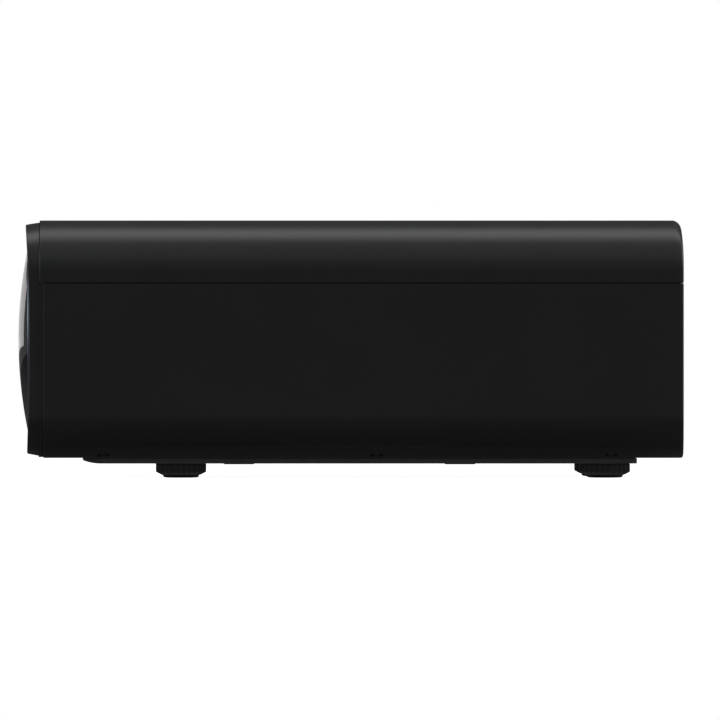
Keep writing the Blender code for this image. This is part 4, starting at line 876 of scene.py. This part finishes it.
board = surface(
    "circuit_board", (0.010, 0.055, 0.028, 1), (0.016, 0.085, 0.045, 1), (0.30, 0.40),
    (300, 20, 0.00002)
)
tree = board.node_tree
where = add(tree, "ShaderNodeTexCoord")
turned_tracks = add(tree, "ShaderNodeMapping")
turned_tracks.inputs["Rotation"].default_value = (math.radians(90), 0, 0)
tracks = add(tree, "ShaderNodeTexBrick", Scale=160.0, Mortar_Size=0.03)
copper = add(tree, "ShaderNodeMix", data_type="RGBA")
copper.inputs[7].default_value = (0.045, 0.16, 0.08, 1)
shader = tree.nodes["Principled BSDF"]
printed = shader.inputs["Base Color"].links[0].from_node
wire(
    tree, (where, "Object", turned_tracks, "Vector"), (turned_tracks, 0, tracks, "Vector"),
    (tracks, "Fac", copper, 0), (printed, 2, copper, 6),
    (copper, 2, shader, "Base Color"),
)
dress(board, "main_board key_board")

# ---- Rear panel
# A flat moulding let into the rear of the lower case. It is cut out for the filter cover, the
# sockets and the mains inlet, with a shallow field round the sockets, and held by screws.
rear_low, rear_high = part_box("rear_panel")
REAR_FACE = rear_high.y
REAR_GAP = 0.0003
SOCKET_NODES = ("hdmi_socket_1", "hdmi_socket_2", "usb_socket", "lan_socket", "ac_inlet")
FIELD = (0.0760, 0.0960)  # middle of the field round the sockets
FIELD_SIZE = (0.1240, 0.0470)
FIELD_DEPTH = 0.0005
THROUGH = 0.01  # how far a cutting tool reaches past the piece
JACKS = ((0.0520, 0.0680), (0.0760, 0.0680))
JACK_RADIUS = 0.0032
x, z = half_outline(
    SIDE - WALL - REAR_GAP, CASE_BOTTOM + WALL + REAR_GAP, BOTTOM_EDGE_RADIUS - WALL - REAR_GAP,
    SEAM - 0.0006
)
outline = np.stack([x[0], z[0]], 1)
rear = prisms("rear_plate", outline, [(0.0, 0.0)], rear_low.y, rear_high.y)
tools = []
for node in SOCKET_NODES:
    low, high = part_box(node)
    size = (high.x - low.x + 2 * REAR_GAP, high.z - low.z + 2 * REAR_GAP)
    tools.append(
        prisms(
            "opening", box_outline(*size, 0.0006), [((low.x + high.x) / 2, (low.z + high.z) / 2)],
            rear_low.y - THROUGH, rear_high.y + THROUGH
        )
    )
filter_low, filter_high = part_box("filter_cover")
filter_middle = (filter_low + filter_high) / 2
opening = (filter_high.x - filter_low.x + 0.001, filter_high.z - filter_low.z + 0.001)
tools.append(
    prisms(
        "opening", box_outline(*opening, 0.0020), [(filter_middle.x, filter_middle.z)],
        rear_low.y - THROUGH, rear_high.y + THROUGH
    )
)
tools.append(
    prisms(
        "field", box_outline(*FIELD_SIZE, 0.0040), [FIELD], rear_high.y - FIELD_DEPTH,
        rear_high.y + THROUGH
    )
)
tools.append(prisms("jack_holes", circle(JACK_RADIUS), JACKS, rear_low.y - THROUGH, rear_high.y + THROUGH))
cut(rear, *tools)
fit(rear, panel_plastic, "root", "panel_plastic", "rear_panel")

# ---- Jacks
# Two 3.5 mm jacks, for a screen trigger and for audio: a nut with a bored, chamfered nose.
jack_y = REAR_FACE - FIELD_DEPTH
profile = [
    (jack_y + 0.0012, 0.0019), (jack_y + 0.0009, 0.0024), (jack_y + 0.0009, 0.0030), (
        jack_y + 0.0005, 0.0034
    ),
    (jack_y - 0.0060, 0.0031), (jack_y - 0.0060, 0.0018), (jack_y + 0.0008, 0.0018),
]
black_gloss = surface(
    "black_gloss", (0.010, 0.010, 0.010, 1), (0.013, 0.013, 0.013, 1), (0.16, 0.22), (900, 30, 0.00002)
)
for name, (x, z) in zip(("trigger_jack", "audio_jack"), JACKS):
    fit(turned(name, profile, (x, 0, z), steps=48, closed=True), bright_metal, "root", "bright_metal")
    well = [
        (jack_y - 0.0058, 0.0), (jack_y - 0.0058, 0.0018), (jack_y - 0.0065, 0.0018),
        (jack_y - 0.0065, 0.0)
    ]
    fit(turned(name + "_well", well, (x, 0, z), steps=24), black_gloss, "root", "panel_plastic")

# ---- Signal sockets
# Folded nickel plated shells with flared mouths, each round a moulded tongue that carries a
# row of gold plated contacts: two for picture, one for service, and one for the network.
# name: taper of the lower corners, tongue width, height and rise, number of contacts
SOCKETS = {
    "hdmi_socket_1": (0.0022, 0.0118, 0.0014, 0.0004, 10),
    "hdmi_socket_2": (0.0022, 0.0118, 0.0014, 0.0004, 10),
    "usb_socket": (0.0003, 0.0108, 0.0018, 0.0010, 4),
    "lan_socket": (0.0003, 0.0090, 0.0020, 0.0035, 8),
}
gold = surface(
    "gold_plate", (0.75, 0.52, 0.20, 1), (0.82, 0.60, 0.26, 1), (0.20, 0.28), (1500, 80, 0.00001),
    metallic=1.0
)
nickel = surface(
    "nickel_plate", (0.48, 0.47, 0.45, 1), (0.56, 0.55, 0.53, 1), (0.22, 0.34), (1300, 70, 0.00002),
    metallic=1.0
)
for node, (taper, tongue_width, tongue_height, rise, contacts) in SOCKETS.items():
    low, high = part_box(node)
    x, z = (low.x + high.x) / 2, (low.z + high.z) / 2
    half, tall = (high.x - low.x) / 2, (high.z - low.z) / 2
    outline = np.array(
        [
            (-half, tall), (half, tall), (half, taper - tall), (half - taper, -tall),
            (taper - half, -tall), (-half, taper - tall)
        ]
    )
    mouth_share = np.array([(half - 0.0014) / half, (tall - 0.0014) / tall])
    deep = low.y + 0.0050
    rows = [
        (deep, outline), (REAR_FACE - 0.0006, outline), (REAR_FACE, outline * (1 - 0.02)),
        (REAR_FACE, outline * (mouth_share + 0.04)), (REAR_FACE - 0.0010, outline * mouth_share),
        (deep, outline * mouth_share)
    ]
    points = np.array([[(x + a, y, z + u) for a, u in ring] for y, ring in rows])
    tube = solid(node + "_shell", points, quads(len(rows), len(outline), True, True).tolist())
    fit(tube, nickel, "root", "socket_metal", node)
    back = prisms(node + "_back", outline, [(x, z)], low.y, deep)
    fit(back, black_gloss, "root", "socket_metal")
    tongue = prisms(
        node + "_tongue", box_outline(tongue_width, tongue_height, 0.0002), [(x, z + rise)],
        deep - 0.0003, REAR_FACE - 0.0020
    )
    fit(tongue, black_gloss, "root", "socket_metal")
    spread = np.linspace(-0.42, 0.42, contacts) * tongue_width
    strip = box_outline(0.5 * tongue_width / contacts, 0.00012, 0.00005, 2)
    under = z + rise - tongue_height / 2 - 0.00004
    contact = prisms(node + "_contacts", strip, [(x + a, under) for a in spread], deep, REAR_FACE - 0.0026)
    fit(contact, gold, "root", "socket_metal")

# ---- Mains inlet
# The usual three-pin inlet: a black moulding with a flanged rim and two clipped corners,
# and three flat pins of plated brass.
inlet_low, inlet_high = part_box("ac_inlet")
x, z = (inlet_low.x + inlet_high.x) / 2, (inlet_low.z + inlet_high.z) / 2
half, tall = (inlet_high.x - inlet_low.x) / 2, (inlet_high.z - inlet_low.z) / 2
clip = 0.0055
outer = np.array([(-half, -tall), (half, -tall), (half, tall), (-half, tall)])
inset = 0.0030
a, u = half - inset, tall - inset
mouth = np.array([(-a, -u), (a, -u), (a, u - clip), (a - clip, u), (clip - a, u), (-a, u - clip)])
nose = np.array(
    [
        (-half, -tall), (half, -tall), (half, tall - clip), (half - clip, tall), (clip - half, tall),
        (-half, tall - clip)
    ]
)
well = inlet_high.y - 0.0160
rows = [
    (well - 0.0030, nose), (inlet_high.y - 0.0006, nose), (inlet_high.y, nose * 0.985),
    (inlet_high.y, mouth * 1.03), (inlet_high.y - 0.0008, mouth), (well, mouth), (well, mouth * 0.02),
    (well - 0.0030, nose * 0.02)
]
points = np.array([[(x + a, y, z + u) for a, u in ring] for y, ring in rows])
inlet = solid("mains_inlet", points, quads(len(rows), len(nose), True, True).tolist())
inlet_plastic = surface(
    "inlet_plastic", (0.012, 0.012, 0.012, 1), (0.016, 0.016, 0.016, 1), (0.30, 0.38),
    (1400, 30, 0.00005)
)
fit(rounded(inlet, 0.0003), inlet_plastic, "root", "panel_plastic", "ac_inlet")
pin_places = [(x - 0.0070, z - 0.0020), (x, z + 0.0020), (x + 0.0070, z - 0.0020)]
pins = prisms("mains_pins", box_outline(0.0020, 0.0040, 0.0006), pin_places, well - 0.0010, well + 0.0110)
fit(rounded(pins, 0.0003), nickel, "root", "panel_plastic")

# ---- Filter cover and filter
# A louvred moulding that snaps into the rear panel and pulls out with its foam. Its blades
# slope down and outwards, and a finger recess sits in its frame.
COVER_FRAME = 0.0055
BLADES = 12
BLADE = (0.0052, 0.0011)
BLADE_TILT = 33.0
low, high = filter_low, filter_high
x, z = filter_middle.x, filter_middle.z
width, height = high.x - low.x, high.z - low.z
cover_frame = prisms("filter_frame", box_outline(width, height, 0.0018), [(x, z)], low.y, high.y)
inner_size = (width - 2 * COVER_FRAME, height - 2 * COVER_FRAME)
hole = prisms("hole", box_outline(*inner_size, 0.0012), [(x, z)], low.y - THROUGH, high.y + THROUGH)
grip = prisms(
    "grip", box_outline(0.0300, 0.0024, 0.0010), [(x, high.z - 0.0030)], high.y - 0.0016,
    high.y + THROUGH
)
cut(cover_frame, hole, grip)
fit(rounded(cover_frame, 0.0004), panel_plastic, "filter_tray", "panel_plastic", "filter_cover")
tilt = math.radians(BLADE_TILT)
section = box_outline(*BLADE, 0.0005, 4)
slope = np.array([[math.cos(tilt), -math.sin(tilt)], [math.sin(tilt), math.cos(tilt)]])
section = section @ slope
blade_y = high.y - 0.0027
blade_z = z + np.linspace(-0.5, 0.5, BLADES) * (inner_size[1] - 0.0050)
blades = prisms(
    "filter_blades", section, [(blade_y, level) for level in blade_z], x - inner_size[0] / 2 - 0.001,
    x + inner_size[0] / 2 + 0.001, "X"
)
fit(blades, panel_plastic, "filter_tray", "panel_plastic")
rib_x = x + np.array([-1, 1]) * inner_size[0] / 6
ribs = prisms(
    "filter_ribs", box_outline(0.0016, inner_size[1] + 0.002, 0.0004), [(level, z) for level in rib_x],
    low.y + 0.0002, low.y + 0.0014
)
fit(ribs, panel_plastic, "filter_tray", "panel_plastic")
foam = surface(
    "filter_foam", (0.030, 0.030, 0.030, 1), (0.060, 0.060, 0.060, 1), (0.90, 0.98), (420, 600, 0.0012)
)
dress(foam, "air_filter")

# ---- Keys
# Seven round caps on the left side, each dished for a fingertip, with a plain printed sign:
# four arrows round an enter key, and a power and a menu key outside them.
KEY_DISH = 0.0004
SIGN_PRINT = 0.00004  # thickness of the print
sign_paint = surface(
    "sign_paint", (0.45, 0.45, 0.46, 1), (0.52, 0.52, 0.53, 1), (0.45, 0.55), (900, 200, 0.000005)
)
key_plastic = surface(
    "key_plastic", (0.014, 0.014, 0.015, 1), (0.018, 0.018, 0.020, 1), (0.26, 0.34), (1900, 30, 0.00003)
)


def stroke(path, width, closed=False):
    """A flat ribbon of that width along a path of (across, up) points: each point moved half
    the width to either side, square to the path."""
    path = np.asarray(path, float)
    ahead = np.roll(path, -1, 0) - np.roll(path, 1, 0) if closed else np.gradient(path, axis=0)
    square = np.stack([-ahead[:, 1], ahead[:, 0]], 1)
    square *= width / 2 / np.linalg.norm(square, axis=1, keepdims=True)
    return np.stack([path - square, path + square], 1)


STROKE = 0.00045
gap = np.radians(np.linspace(125, 415, 24))
open_ring = 0.0019 * np.stack([np.cos(gap), np.sin(gap)], 1)
chevron = [[(-0.0013, -0.0008), (0.0, 0.0006)], [(0.0, 0.0006), (0.0013, -0.0008)]]
quarter = {"up": 0, "left": -90, "down": 180, "right": 90}
SIGNS = {
    "enter": [stroke(circle(0.0015, 32), STROKE, True)],
    "power": [stroke(open_ring, STROKE), stroke([(0, 0.0006), (0, 0.0024)], STROKE)],
    "menu": [stroke([(-0.0015, level), (0.0015, level)], STROKE) for level in (-0.0011, 0.0, 0.0011)],
}
for key, angle in quarter.items():
    a, u = math.cos(math.radians(angle)), math.sin(math.radians(angle))
    SIGNS[key] = [stroke(np.array(line) @ np.array([[a, u], [-u, a]]), STROKE) for line in chevron]
for key, centre in key_centres.items():
    low, high = key_boxes[key]
    turn = np.linspace(0, 1, 9)
    bowl = [(low.x + KEY_DISH * (1 - share**2), share * (key_radius - 0.0007)) for share in turn]
    lip = np.radians(np.linspace(20, 90, 4))
    edge_ring = [(low.x + 0.0006 * (1 - math.cos(a)), key_radius - 0.0006 * (1 - math.sin(a))) for a in lip]
    profile = [*bowl, *edge_ring, (high.x, key_radius), (high.x, 0)]
    cap = turned(key + "_key", profile, (0, centre.y, centre.z), "X", steps=56)
    fit(cap, key_plastic, key + "_button", "key_plastic", key + "_button")
    points, faces = [], []
    for ribbon in SIGNS[key]:
        looped = key == "enter"
        radius = np.linalg.norm(ribbon, axis=2) / (key_radius - 0.0007)
        depth = low.x + KEY_DISH * (1 - radius**2)
        # Mirrored across, because this side is looked at along +X
        flat = np.stack([depth, centre.y - ribbon[..., 0], centre.z + ribbon[..., 1]], -1)
        layers = np.stack([flat - (SIGN_PRINT, 0, 0), flat + (SIGN_PRINT, 0, 0)], 1)
        layers = layers[:, [0, 0, 1, 1], [0, 1, 1, 0]]
        first = sum(len(part) for part in points)
        faces += (quads(len(ribbon), 4, looped, True) + first).tolist()
        if not looped:
            last = first + 4 * (len(ribbon) - 1)
            faces += [[first, first + 1, first + 2, first + 3], [last, last + 1, last + 2, last + 3]]
        points.append(layers.reshape(-1, 3))
    sign = solid(key + "_sign", np.concatenate(points), faces)
    fit(sign, sign_paint, key + "_button", "key_plastic")

# ---- Status lights
# Three small light guides beside the menu key show standby, heat and lamp state. They are
# frosted acrylic rods, flush with the side.
LIGHTS = {
    "standby_light": (0.1880, (0.08, 0.012, 0.008, 1)), "heat_light": (0.1960, (0.10, 0.05, 0.010, 1)),
    "lamp_light": (0.2040, (0.01, 0.06, 0.02, 1))
}
light_z = key_centres["enter"].z
guide = [
    (-SIDE - 0.0001, 0), (-SIDE - 0.00005, 0.0008), (-SIDE + 0.0001, 0.0011), (-SIDE + 0.0020, 0.0011),
    (-SIDE + 0.0020, 0)
]
for name, (y, colour) in LIGHTS.items():
    acrylic = surface(
        name + "_acrylic", colour, tuple(0.8 * level for level in colour[:3]) + (1,), (0.18, 0.26),
        (500, 50, 0.00001), coat=0.6
    )
    fit(turned(name, guide, (0, y, light_z), "X", steps=32), acrylic, "root", "smoked_window")

# ---- Bottom plate
# A pressed steel plate, powder coated a shade lighter than the case. Its front end curves up
# to the floor of the case, and four raised bosses have the threads for a ceiling bracket.
plate_low, plate_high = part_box("bottom_plate")
PLATE_LOW = 0.0103
PLATE_CORNER = 0.0185
PLATE_EDGE = 0.0007
BOW_LENGTH = 0.0130
BOW_RISE = 0.0024
BRACKET_HOLES = [(x, y) for x in (-0.1, 0.1) for y in (-0.08, 0.08)]
PLATE_SCREWS = [(x, y) for x in (-0.182, 0.182) for y in (-0.150, -0.040, 0.070, 0.150, 0.195)]
COUNTERBORE = 0.0020
plate_width, plate_length = plate_high.x - plate_low.x, plate_high.y - plate_low.y
plate_y = (plate_high.y + plate_low.y) / 2


def plate_ring(inset, z, bowed):
    """The plate's outline drawn in by inset at height z, raised towards its front end."""
    x, y = box_outline(plate_width - 2 * inset, plate_length - 2 * inset, PLATE_CORNER - inset, 14).T
    y = y + plate_y
    share = np.clip(1 - (y - plate_low.y) / BOW_LENGTH, 0, 1)
    return np.stack([x, y, z + bowed * BOW_RISE * share**2], 1)


turn = np.radians(np.linspace(0, 90, 5))
rows = [plate_ring(0, plate_high.z, 0)]
rows += [
    plate_ring(PLATE_EDGE * (1 - math.cos(a)), PLATE_LOW + PLATE_EDGE * (1 - math.sin(a)), 1)
    for a in turn
]
rows += [plate_ring(inset, PLATE_LOW, 1) for inset in (0.0015, 0.0030, 0.0050, 0.0080, 0.0120, 0.0160)]
rows = np.array(rows)
faces = quads(len(rows), rows.shape[1], False, True).tolist()
last = len(rows) * rows.shape[1]
faces += [list(range(rows.shape[1])), list(range(last - rows.shape[1], last))]
edge = np.zeros(len(rows))
edge[1:6] = 0.7
plate = solid("mounting_plate", rows, faces, edge=edge)
screw_holes = prisms("bracket_holes", circle(0.0030), BRACKET_HOLES, 0.0, 0.02, "Z")
stud_holes = prisms(
    "stud_holes", circle(STUD_HOLE_RADIUS), [(c.x, c.y) for c in foot_centres.values()], 0.0, 0.02, "Z"
)
counterbores = prisms("counterbores", circle(0.0036, 32), PLATE_SCREWS, 0.0, PLATE_LOW + COUNTERBORE, "Z")
cut(plate, screw_holes, stud_holes, counterbores)
powder_coat = surface(
    "powder_coat", (0.115, 0.115, 0.122, 1), (0.130, 0.130, 0.138, 1), (0.40, 0.50),
    (1300, 12, 0.00012), worn=((0.20, 0.20, 0.20, 1), 0.35)
)
fit(plate, powder_coat, "root", "plate_steel", "bottom_plate")
profile = [
    (PLATE_LOW + 0.001, 0.0110), (PLATE_LOW - 0.0005, 0.0110), (PLATE_LOW - 0.0008, 0.0107),
    (PLATE_LOW - 0.0008, 0.0034), (PLATE_LOW - 0.0004, 0.0030), (PLATE_LOW + 0.001, 0.0030)
]
for number, (x, y) in enumerate(BRACKET_HOLES, 1):
    fit(
        turned(f"bracket_boss_{number}", profile, (x, y, 0), "Z", closed=True), powder_coat, "root",
        "plate_steel"
    )

# ---- Bracket inserts
# Zinc plated threaded inserts pressed into the bosses from above, 6 mm thread.
THREAD_PITCH = 0.0010


def thread(name, radius, depth, pitch, start, end, centre, bore=None, steps=40):
    """A helical thread on a rod, or in a bore with bore set to the outside of its wall: at
    each height and angle the radius dips by depth with the distance to the nearest crest,
    and the crest climbs by one pitch in a turn."""
    levels = int(round((end - start) / (pitch / 6))) + 1
    z = np.linspace(start, end, levels)[:, None]
    turn = np.linspace(0, 2 * np.pi, steps, endpoint=False)[None, :]
    phase = (z - start) / pitch - turn / (2 * np.pi)
    dip = 2 * np.abs(phase - np.round(phase))
    run_out = np.clip(np.minimum(z - start, end - z) / pitch, 0, 1)
    size = radius - depth * (1 - dip * run_out)
    ring = np.stack([size * np.cos(turn), size * np.sin(turn), z + 0 * size], -1)
    flat = np.stack([np.cos(turn[0]), np.sin(turn[0]), 0 * turn[0]], -1)
    ends = [((bore or 0.0) * flat + (0, 0, level))[None] for level in (start, end)]
    points = np.concatenate([ends[0], ring, ends[1]]) + np.asarray(centre)
    return solid(name, points, quads(len(points), steps, bool(bore), True).tolist(), sharp=40)


for number, (x, y) in enumerate(BRACKET_HOLES, 1):
    insert = thread(
        f"bracket_insert_{number}", 0.0029, 0.0004, THREAD_PITCH, PLATE_LOW - 0.0002,
        PLATE_LOW + 0.0070, (x, y, 0), bore=0.0042
    )
    fit(insert, screw_steel, "root", "screw_steel")

# ---- Feet
# A fluted knob moulded round a threaded steel stud screws each foot out of the case. A soft
# rubber pad on a swivel under the knob stands still while the knob turns.
knob_low, knob_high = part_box("foot_knob_front_right")
pad_low, pad_high = foot_boxes["front_right"]
KNOB_RADIUS = (knob_high.x - knob_low.x) / 2
FLUTES = 26
FLUTE_DEPTH = 0.0010
KNOB_TOP = PLATE_LOW - 0.00005
KNOB_GRIP = 0.0043  # height where the grip turns in
KNOB_BASE = (0.0019, 0.0136)  # height and radius of the lower end
STUD_RADIUS = 0.0040
STUD_PITCH = 0.0020
foot_plastic = surface(
    "foot_plastic", (0.062, 0.062, 0.065, 1), (0.075, 0.075, 0.079, 1), (0.30, 0.40),
    (1600, 20, 0.00005), worn=((0.10, 0.10, 0.10, 1), 0.6)
)
pad_rubber = surface(
    "pad_rubber", (0.004, 0.004, 0.004, 1), (0.007, 0.007, 0.007, 1), (0.70, 0.85), (800, 40, 0.00012)
)
# (height, radius, share of the flutes' depth, edge) down the knob
KNOB_ROWS = np.array([
    (KNOB_TOP, 0.0060, 0, 0), (KNOB_TOP, 0.0150, 0, 0), (KNOB_TOP, KNOB_RADIUS - 0.0008, 0.6, 0.2), (
        KNOB_TOP - 0.0002, KNOB_RADIUS - 0.0002, 1, 1
    ),
    (KNOB_TOP - 0.0006, KNOB_RADIUS, 1, 0.3), (KNOB_TOP - 0.0028, KNOB_RADIUS, 1, 0), (
        KNOB_GRIP + 0.0005, KNOB_RADIUS, 1, 0.3
    ),
    (KNOB_GRIP, KNOB_RADIUS - 0.0002, 1, 1), (KNOB_GRIP - 0.0004, KNOB_RADIUS - 0.0008, 0.7, 0.3), (
        KNOB_BASE[0] + 0.0002, KNOB_BASE[1] + 0.0005, 0.15, 0
    ),
    (KNOB_BASE[0], KNOB_BASE[1], 0, 0), (KNOB_BASE[0], 0.0070, 0, 0), (KNOB_BASE[0] + 0.0018, 0.0066, 0, 0),
])
for foot, centre in foot_centres.items():
    turn = np.linspace(0, 2 * np.pi, FLUTES * 12, endpoint=False)[None, :]
    level, radius, share, mark = KNOB_ROWS.T[:, :, None]
    flute = (0.5 - 0.5 * np.cos(FLUTES * turn)) ** 1.6
    size = radius - FLUTE_DEPTH * share * flute
    points = np.stack([centre.x + size * np.cos(turn), centre.y + size * np.sin(turn), level + 0 * size], -1)
    faces = quads(*points.shape[:2], True, True).tolist()
    knob = solid("foot_grip_" + foot, points, faces, edge=mark * (1 - flute))
    fit(knob, foot_plastic, "foot_knob_" + foot, "foot_plastic", "foot_knob_" + foot)
    stud = thread(
        "foot_stud_" + foot, STUD_RADIUS, 0.0006, STUD_PITCH, KNOB_BASE[0] + 0.0020, knob_high.z,
        (centre.x, centre.y, 0)
    )
    fit(stud, screw_steel, "foot_knob_" + foot, "screw_steel")
    pad_radius = (pad_high.x - pad_low.x) / 2
    profile = [
        (pad_low.z, 0), (pad_low.z, 0.0060), (pad_low.z + 0.0001, 0.0095), (pad_low.z + 0.0003, 0.0115), (
            pad_low.z + 0.0008, pad_radius - 0.0002
        ),
        (pad_low.z + 0.0012, pad_radius), (
            pad_low.z + 0.00185, pad_radius - 0.0002
        ), (pad_low.z + 0.00185, 0.0058), (pad_high.z, 0.0056), (pad_high.z, 0),
    ]
    pad = turned("foot_cushion_" + foot, profile, (centre.x, centre.y, 0), "Z", steps=72)
    fit(pad, pad_rubber, "foot_" + foot, "pad_rubber", "foot_pad_" + foot)

# ---- Screws
# Cross-recessed pan heads: six in the pockets under the sides, ten through the mounting
# plate and eight in the rear panel, in black zinc plated steel.
HEAD_RADIUS = 0.0030
HEAD_RISE = 0.0016
CROSS = (0.0032, 0.0007, 0.0010)  # length, width and depth of the recess
black_zinc = surface(
    "black_zinc", (0.060, 0.060, 0.064, 1), (0.085, 0.085, 0.09, 1), (0.25, 0.38), (1500, 90, 0.00002),
    metallic=0.9
)


def screw_heads(name, places, level, axis, outward):
    """One head at each (across, up) place: a low dome whose height falls with the square of
    the distance from its middle, cut by a cross, standing outward from a level."""
    share = np.linspace(0, 1, 7)
    profile = [(level + outward * HEAD_RISE * (1 - 0.45 * s**2), s * HEAD_RADIUS) for s in share]
    profile += [(level, HEAD_RADIUS), (level - outward * 0.0010, HEAD_RADIUS), (level - outward * 0.0010, 0)]
    heads = []
    for across, up in places:
        centre = np.array([(across, up, 0.0)])[:, AXES[axis]][0]
        heads.append(turned(name, profile, centre, axis, steps=28))
    points = np.concatenate([np.array([v.co for v in head.data.vertices]) for head in heads])
    faces, first = [], 0
    for head in heads:
        faces += [[first + v for v in face.vertices] for face in head.data.polygons]
        first += len(head.data.vertices)
        bpy.data.objects.remove(head, do_unlink=True)
    heads = solid(name, points, faces)
    top = level + outward * (HEAD_RISE + 0.001)
    floor_level = level + outward * (HEAD_RISE - CROSS[2])
    for size in ((CROSS[0], CROSS[1]), (CROSS[1], CROSS[0])):
        cut(heads, prisms("recess", box_outline(*size, 0.0001, 3), places, floor_level, top, axis))
    return heads


pocket_top = CASE_BOTTOM + POCKET_DEPTH
fit(screw_heads("case_screws", POCKETS, pocket_top, "Z", -1), black_zinc, "root", "screw_steel")
fit(
    screw_heads("plate_screws", PLATE_SCREWS, PLATE_LOW + COUNTERBORE, "Z", -1), black_zinc, "root",
    "screw_steel"
)
rear_places = [(x, z) for x in (-0.2080, 0.2080) for z in (0.0700, 0.1340)] + [
    (x, z)
    for x in (-0.0150, 0.0150) for z in (0.0230, 0.1340)
]
fit(screw_heads("rear_screws", rear_places, REAR_FACE, "Y", 1), black_zinc, "root", "screw_steel")
